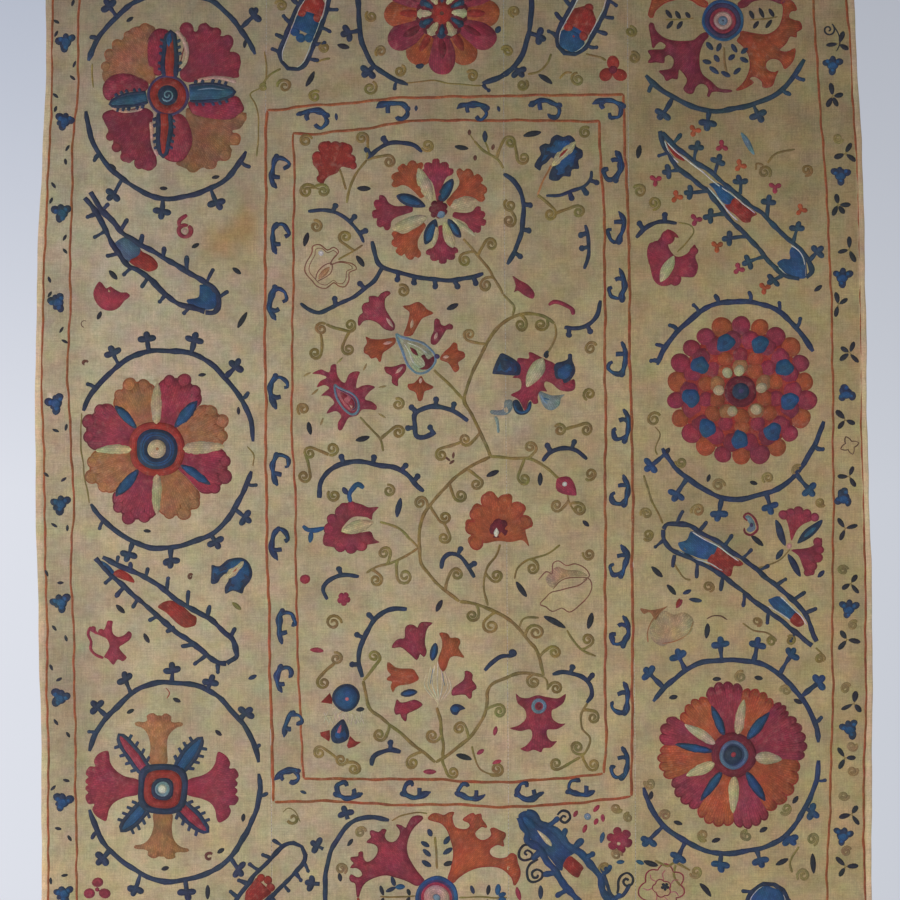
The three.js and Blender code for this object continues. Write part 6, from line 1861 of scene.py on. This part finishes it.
def ranged(nt, v, a, b, lo, hi):
    n = nt.nodes.new("ShaderNodeMapRange")
    n.inputs["From Min"].default_value = a
    n.inputs["From Max"].default_value = b
    n.inputs["To Min"].default_value = lo
    n.inputs["To Max"].default_value = hi
    nt.links.new(v, n.inputs["Value"])
    return n.outputs["Result"]


def times(nt, colour, v):
    n = nt.nodes.new("ShaderNodeVectorMath")
    n.operation = 'MULTIPLY'
    nt.links.new(colour, n.inputs[0])
    if isinstance(v, tuple):
        n.inputs[1].default_value = v
    else:
        nt.links.new(v, n.inputs[1])
    return n.outputs[0]


def mixed(nt, fac, a, b):
    n = nt.nodes.new("ShaderNodeMix")
    n.data_type = 'RGBA'
    for v, key in ((fac, 0), (a, 6), (b, 7)):
        if isinstance(v, (int, float)):
            n.inputs[key].default_value = v
        elif isinstance(v, tuple):
            n.inputs[key].default_value = v + (1.0,)
        else:
            nt.links.new(v, n.inputs[key])
    return n.outputs[2]


def hues(nt, obj, scale):
    """A slow drift of hue, close to neutral."""
    n = nt.nodes.new("ShaderNodeVectorMath")
    n.operation = 'MULTIPLY_ADD'
    nt.links.new(noise(nt, obj, scale, 2.0, out="Color"), n.inputs[0])
    n.inputs[1].default_value = (1.1, 1.0, 1.1)
    n.inputs[2].default_value = (0.45, 0.50, 0.45)
    return n.outputs[0]


def silk_finish(name, row=3.3, worn=0.20, pale=(0.42, 0.34, 0.26)):
    mat = bpy.data.materials.new(name)
    nt, bsdf = tree(mat)
    at = nt.nodes.new("ShaderNodeAttribute")
    at.attribute_name = "tint"
    tc = nt.nodes.new("ShaderNodeTexCoord")
    uv = nt.nodes.new("ShaderNodeUVMap")
    uv.uv_map = "stitch"
    obj = tc.outputs["Object"]
    # rows of chain stitch, a little uneven
    wob = nt.nodes.new("ShaderNodeVectorMath")
    wob.operation = 'MULTIPLY_ADD'
    nt.links.new(noise(nt, obj, 160.0, 1.0, out="Color"), wob.inputs[0])
    wob.inputs[1].default_value = (1.1, 0.9, 0.0)
    nt.links.new(scaled(nt, uv.outputs["UV"], (1000, 1000, 1000)), wob.inputs[2])
    br = nt.nodes.new("ShaderNodeTexBrick")
    br.offset, br.squash = 0.5, 1.0
    nt.links.new(wob.outputs[0], br.inputs["Vector"])
    for key, v in (("Scale", 1.0), ("Mortar Size", 0.42), ("Mortar Smooth", 0.9), ("Bias", 0.0), ("Brick Width", 5.2), ("Row Height", row)):
        br.inputs[key].default_value = v
    br.inputs["Color1"].default_value = (1.16, 1.14, 1.12, 1)
    br.inputs["Color2"].default_value = (0.80, 0.80, 0.82, 1)
    br.inputs["Mortar"].default_value = (0.55, 0.55, 0.57, 1)
    c = times(nt, at.outputs["Color"], br.outputs["Color"])
    c = times(nt, c, ranged(nt, noise(nt, obj, 9.0, 3.0), .3, .7, 0.90, 1.12))
    c = times(nt, c, ranged(nt, noise(nt, obj, 60.0, 3.0), .3, .7, 0.88, 1.14))
    c = mixed(nt, 0.75, c, times(nt, c, hues(nt, obj, 34.0)))
    # rubbed and faded places
    rub = ranged(nt, noise(nt, obj, 120.0, 4.0, 0.6), .52, .74, 0.0, 1.0)
    part = ranged(nt, noise(nt, obj, 7.0, 2.0), .40, .64, 0.25, 1.0)
    rub = maths(nt, 'MULTIPLY', maths(nt, 'MULTIPLY', rub, part), worn)
    c = mixed(nt, rub, c, pale)
    nt.links.new(c, bsdf.inputs["Base Color"])
    bsdf.inputs["Roughness"].default_value = 0.66
    bsdf.inputs["Specular IOR Level"].default_value = 0.32
    bsdf.inputs["Sheen Weight"].default_value = 0.12
    bsdf.inputs["Sheen Roughness"].default_value = 0.5
    bump = nt.nodes.new("ShaderNodeBump")
    bump.inputs["Strength"].default_value = 0.6
    bump.inputs["Distance"].default_value = 0.0005
    h = maths(nt, 'SUBTRACT', 1.0, br.outputs["Fac"])
    h = maths(nt, 'ADD', h, maths(nt, 'MULTIPLY', noise(nt, scaled(nt, uv.outputs["UV"], (500, 3400, 1)), 1.0, 2.0), 0.5))
    nt.links.new(h, bump.inputs["Height"])
    nt.links.new(bump.outputs["Normal"], bsdf.inputs["Normal"])
    return mat


def cotton_finish():
    mat = bpy.data.materials.new("aged_cotton")
    nt, bsdf = tree(mat)
    at = nt.nodes.new("ShaderNodeAttribute")
    at.attribute_name = "tone"
    tc = nt.nodes.new("ShaderNodeTexCoord")
    obj = tc.outputs["Object"]
    base = times(nt, at.outputs["Color"], tuple(float(v) for v in lin(GROUND)))
    c = times(nt, base, ranged(nt, noise(nt, obj, 3.2, 3.0), .3, .7, 0.91, 1.09))
    c = times(nt, c, ranged(nt, noise(nt, obj, 16.0, 3.0), .3, .7, 0.90, 1.10))
    c = mixed(nt, 0.36, c, times(nt, c, hues(nt, obj, 30.0)))
    # slubs: warp threads run up and down, weft from side to side
    warp = noise(nt, scaled(nt, obj, (620, 1, 26)), 1.0, 2.0)
    weft = noise(nt, scaled(nt, obj, (30, 1, 560)), 1.0, 2.0)
    fine = noise(nt, obj, 420.0, 2.0)
    c = times(nt, c, ranged(nt, warp, .25, .75, 0.88, 1.12))
    c = times(nt, c, ranged(nt, weft, .25, .75, 0.88, 1.12))
    c = times(nt, c, ranged(nt, fine, .25, .75, 0.86, 1.14))
    c = times(nt, c, ranged(nt, noise(nt, obj, 95.0, 2.0), .3, .7, 0.93, 1.07))
    # small brown age spots
    spot = ranged(nt, noise(nt, obj, 48.0, 4.0, 0.62), .64, .80, 0.0, 0.55)
    c = mixed(nt, spot, c, (0.26, 0.19, 0.11))
    nt.links.new(c, bsdf.inputs["Base Color"])
    bsdf.inputs["Roughness"].default_value = 0.9
    bsdf.inputs["Specular IOR Level"].default_value = 0.15
    bump = nt.nodes.new("ShaderNodeBump")
    bump.inputs["Strength"].default_value = 0.5
    bump.inputs["Distance"].default_value = 0.0007
    h = maths(nt, 'ADD', warp, weft)
    h = maths(nt, 'ADD', h, maths(nt, 'MULTIPLY', noise(nt, obj, 130.0, 3.0), 0.8))
    nt.links.new(h, bump.inputs["Height"])
    nt.links.new(bump.outputs["Normal"], bsdf.inputs["Normal"])
    return mat


GROUND = (178, 162, 131)
finishes = {"crimson": silk_finish("crimson_silk"), "orange": silk_finish("orange_silk", worn=0.26),
            "blue": silk_finish("blue_silk", row=3.0, worn=0.12, pale=(0.20, 0.22, 0.26)),
            "olive": silk_finish("olive_silk", row=2.4, worn=0.2), "cream": silk_finish("cream_silk", worn=0.15, pale=(0.42, 0.38, 0.28))}
finishes.update(rust=finishes["orange"], navy=finishes["blue"], ink=finishes["blue"])
cloth = cotton_finish()

for key, ob in SILK_OBJECTS.items():
    ob.data.materials.append(finishes[key])
    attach(ob, "root")
for ob, node, flat in COTTON:
    ob.data.materials.append(cloth)
    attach(ob, "root")
    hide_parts(node)

for ob in list(SILK_OBJECTS.values()) + [c[0] for c in COTTON]:
    ob.data.calc_loop_triangles()
    print("piece", ob.name, len(ob.data.loop_triangles))


# ------------------------------------------------------------ studio and view
scene = bpy.context.scene
scene.view_settings.view_transform = 'Standard'

cam = bpy.data.objects.new("camera", bpy.data.cameras.new("camera"))
scene.collection.objects.link(cam)
cam.location = ((450 - MIDX) * UNIT, -3.606, -(450 - TOPY) * UNIT)
cam.rotation_euler = (math.radians(90), 0, 0)
cam.data.lens = 36 * 3.6 / (900 * UNIT)
cam.data.clip_end = 60
scene.camera = cam

world = bpy.data.worlds.new("room")
scene.world = world
world.use_nodes = True
wn = world.node_tree
bg = wn.nodes["Background"]
tc = wn.nodes.new("ShaderNodeTexCoord")
sep = wn.nodes.new("ShaderNodeSeparateXYZ")
wn.links.new(tc.outputs["Generated"], sep.inputs[0])
# painted shade on the backdrop: darker upwards and to the right, as the wall behind falls out of the light
up = ranged(wn, sep.outputs["Z"], -0.02, 0.24, 0.0, 1.0)
side = ranged(wn, sep.outputs["X"], -0.22, 0.22, 0.0, 1.0)
low, high = tuple(float(v) for v in lin((222, 225, 234))), tuple(float(v) for v in lin((176, 183, 199)))
c = mixed(wn, up, low, high)
c = mixed(wn, side, c, mixed(wn, up, tuple(float(v) for v in lin((200, 204, 213))), tuple(float(v) for v in lin((173, 177, 187)))))
behind = ranged(wn, sep.outputs["Y"], -0.25, 0.35, 0.0, 1.0)
c = mixed(wn, behind, tuple(float(v) for v in lin((126, 127, 130))), c)
wn.links.new(c, bg.inputs["Color"])
bg.inputs["Strength"].default_value = 1.0


def area_light(name, place, aim, size, power, colour=(1, 1, 1)):
    data = bpy.data.lights.new(name, 'AREA')
    data.shape = 'SQUARE'
    data.size, data.energy, data.color = size, power, colour
    ob = bpy.data.objects.new(name, data)
    ob.location = place
    ob.rotation_euler = (Vector(aim) - Vector(place)).to_track_quat('-Z', 'Y').to_euler()
    scene.collection.objects.link(ob)
    return ob


area_light("window", (-2.3, -2.0, -1.75), (0.1, 0, -1.2), 1.3, 44.0, (1.0, 0.985, 0.96))
area_light("lamp", (1.1, -2.8, -1.7), (0.1, 0, -1.3), 1.6, 29.0, (1.0, 0.98, 0.96))

me = bpy.data.meshes.new("floor")
me.from_pydata([(-3, -3, -2.32), (3, -3, -2.32), (3, 1.35, -2.32), (-3, 1.35, -2.32)], [], [(0, 1, 2, 3)])
me.update()
floor = add_object(me)
fm = bpy.data.materials.new("floor_paint")
nt, bsdf = tree(fm)
bsdf.inputs["Base Color"].default_value = (0.62, 0.62, 0.63, 1)
bsdf.inputs["Roughness"].default_value = 0.8
me.materials.append(fm)
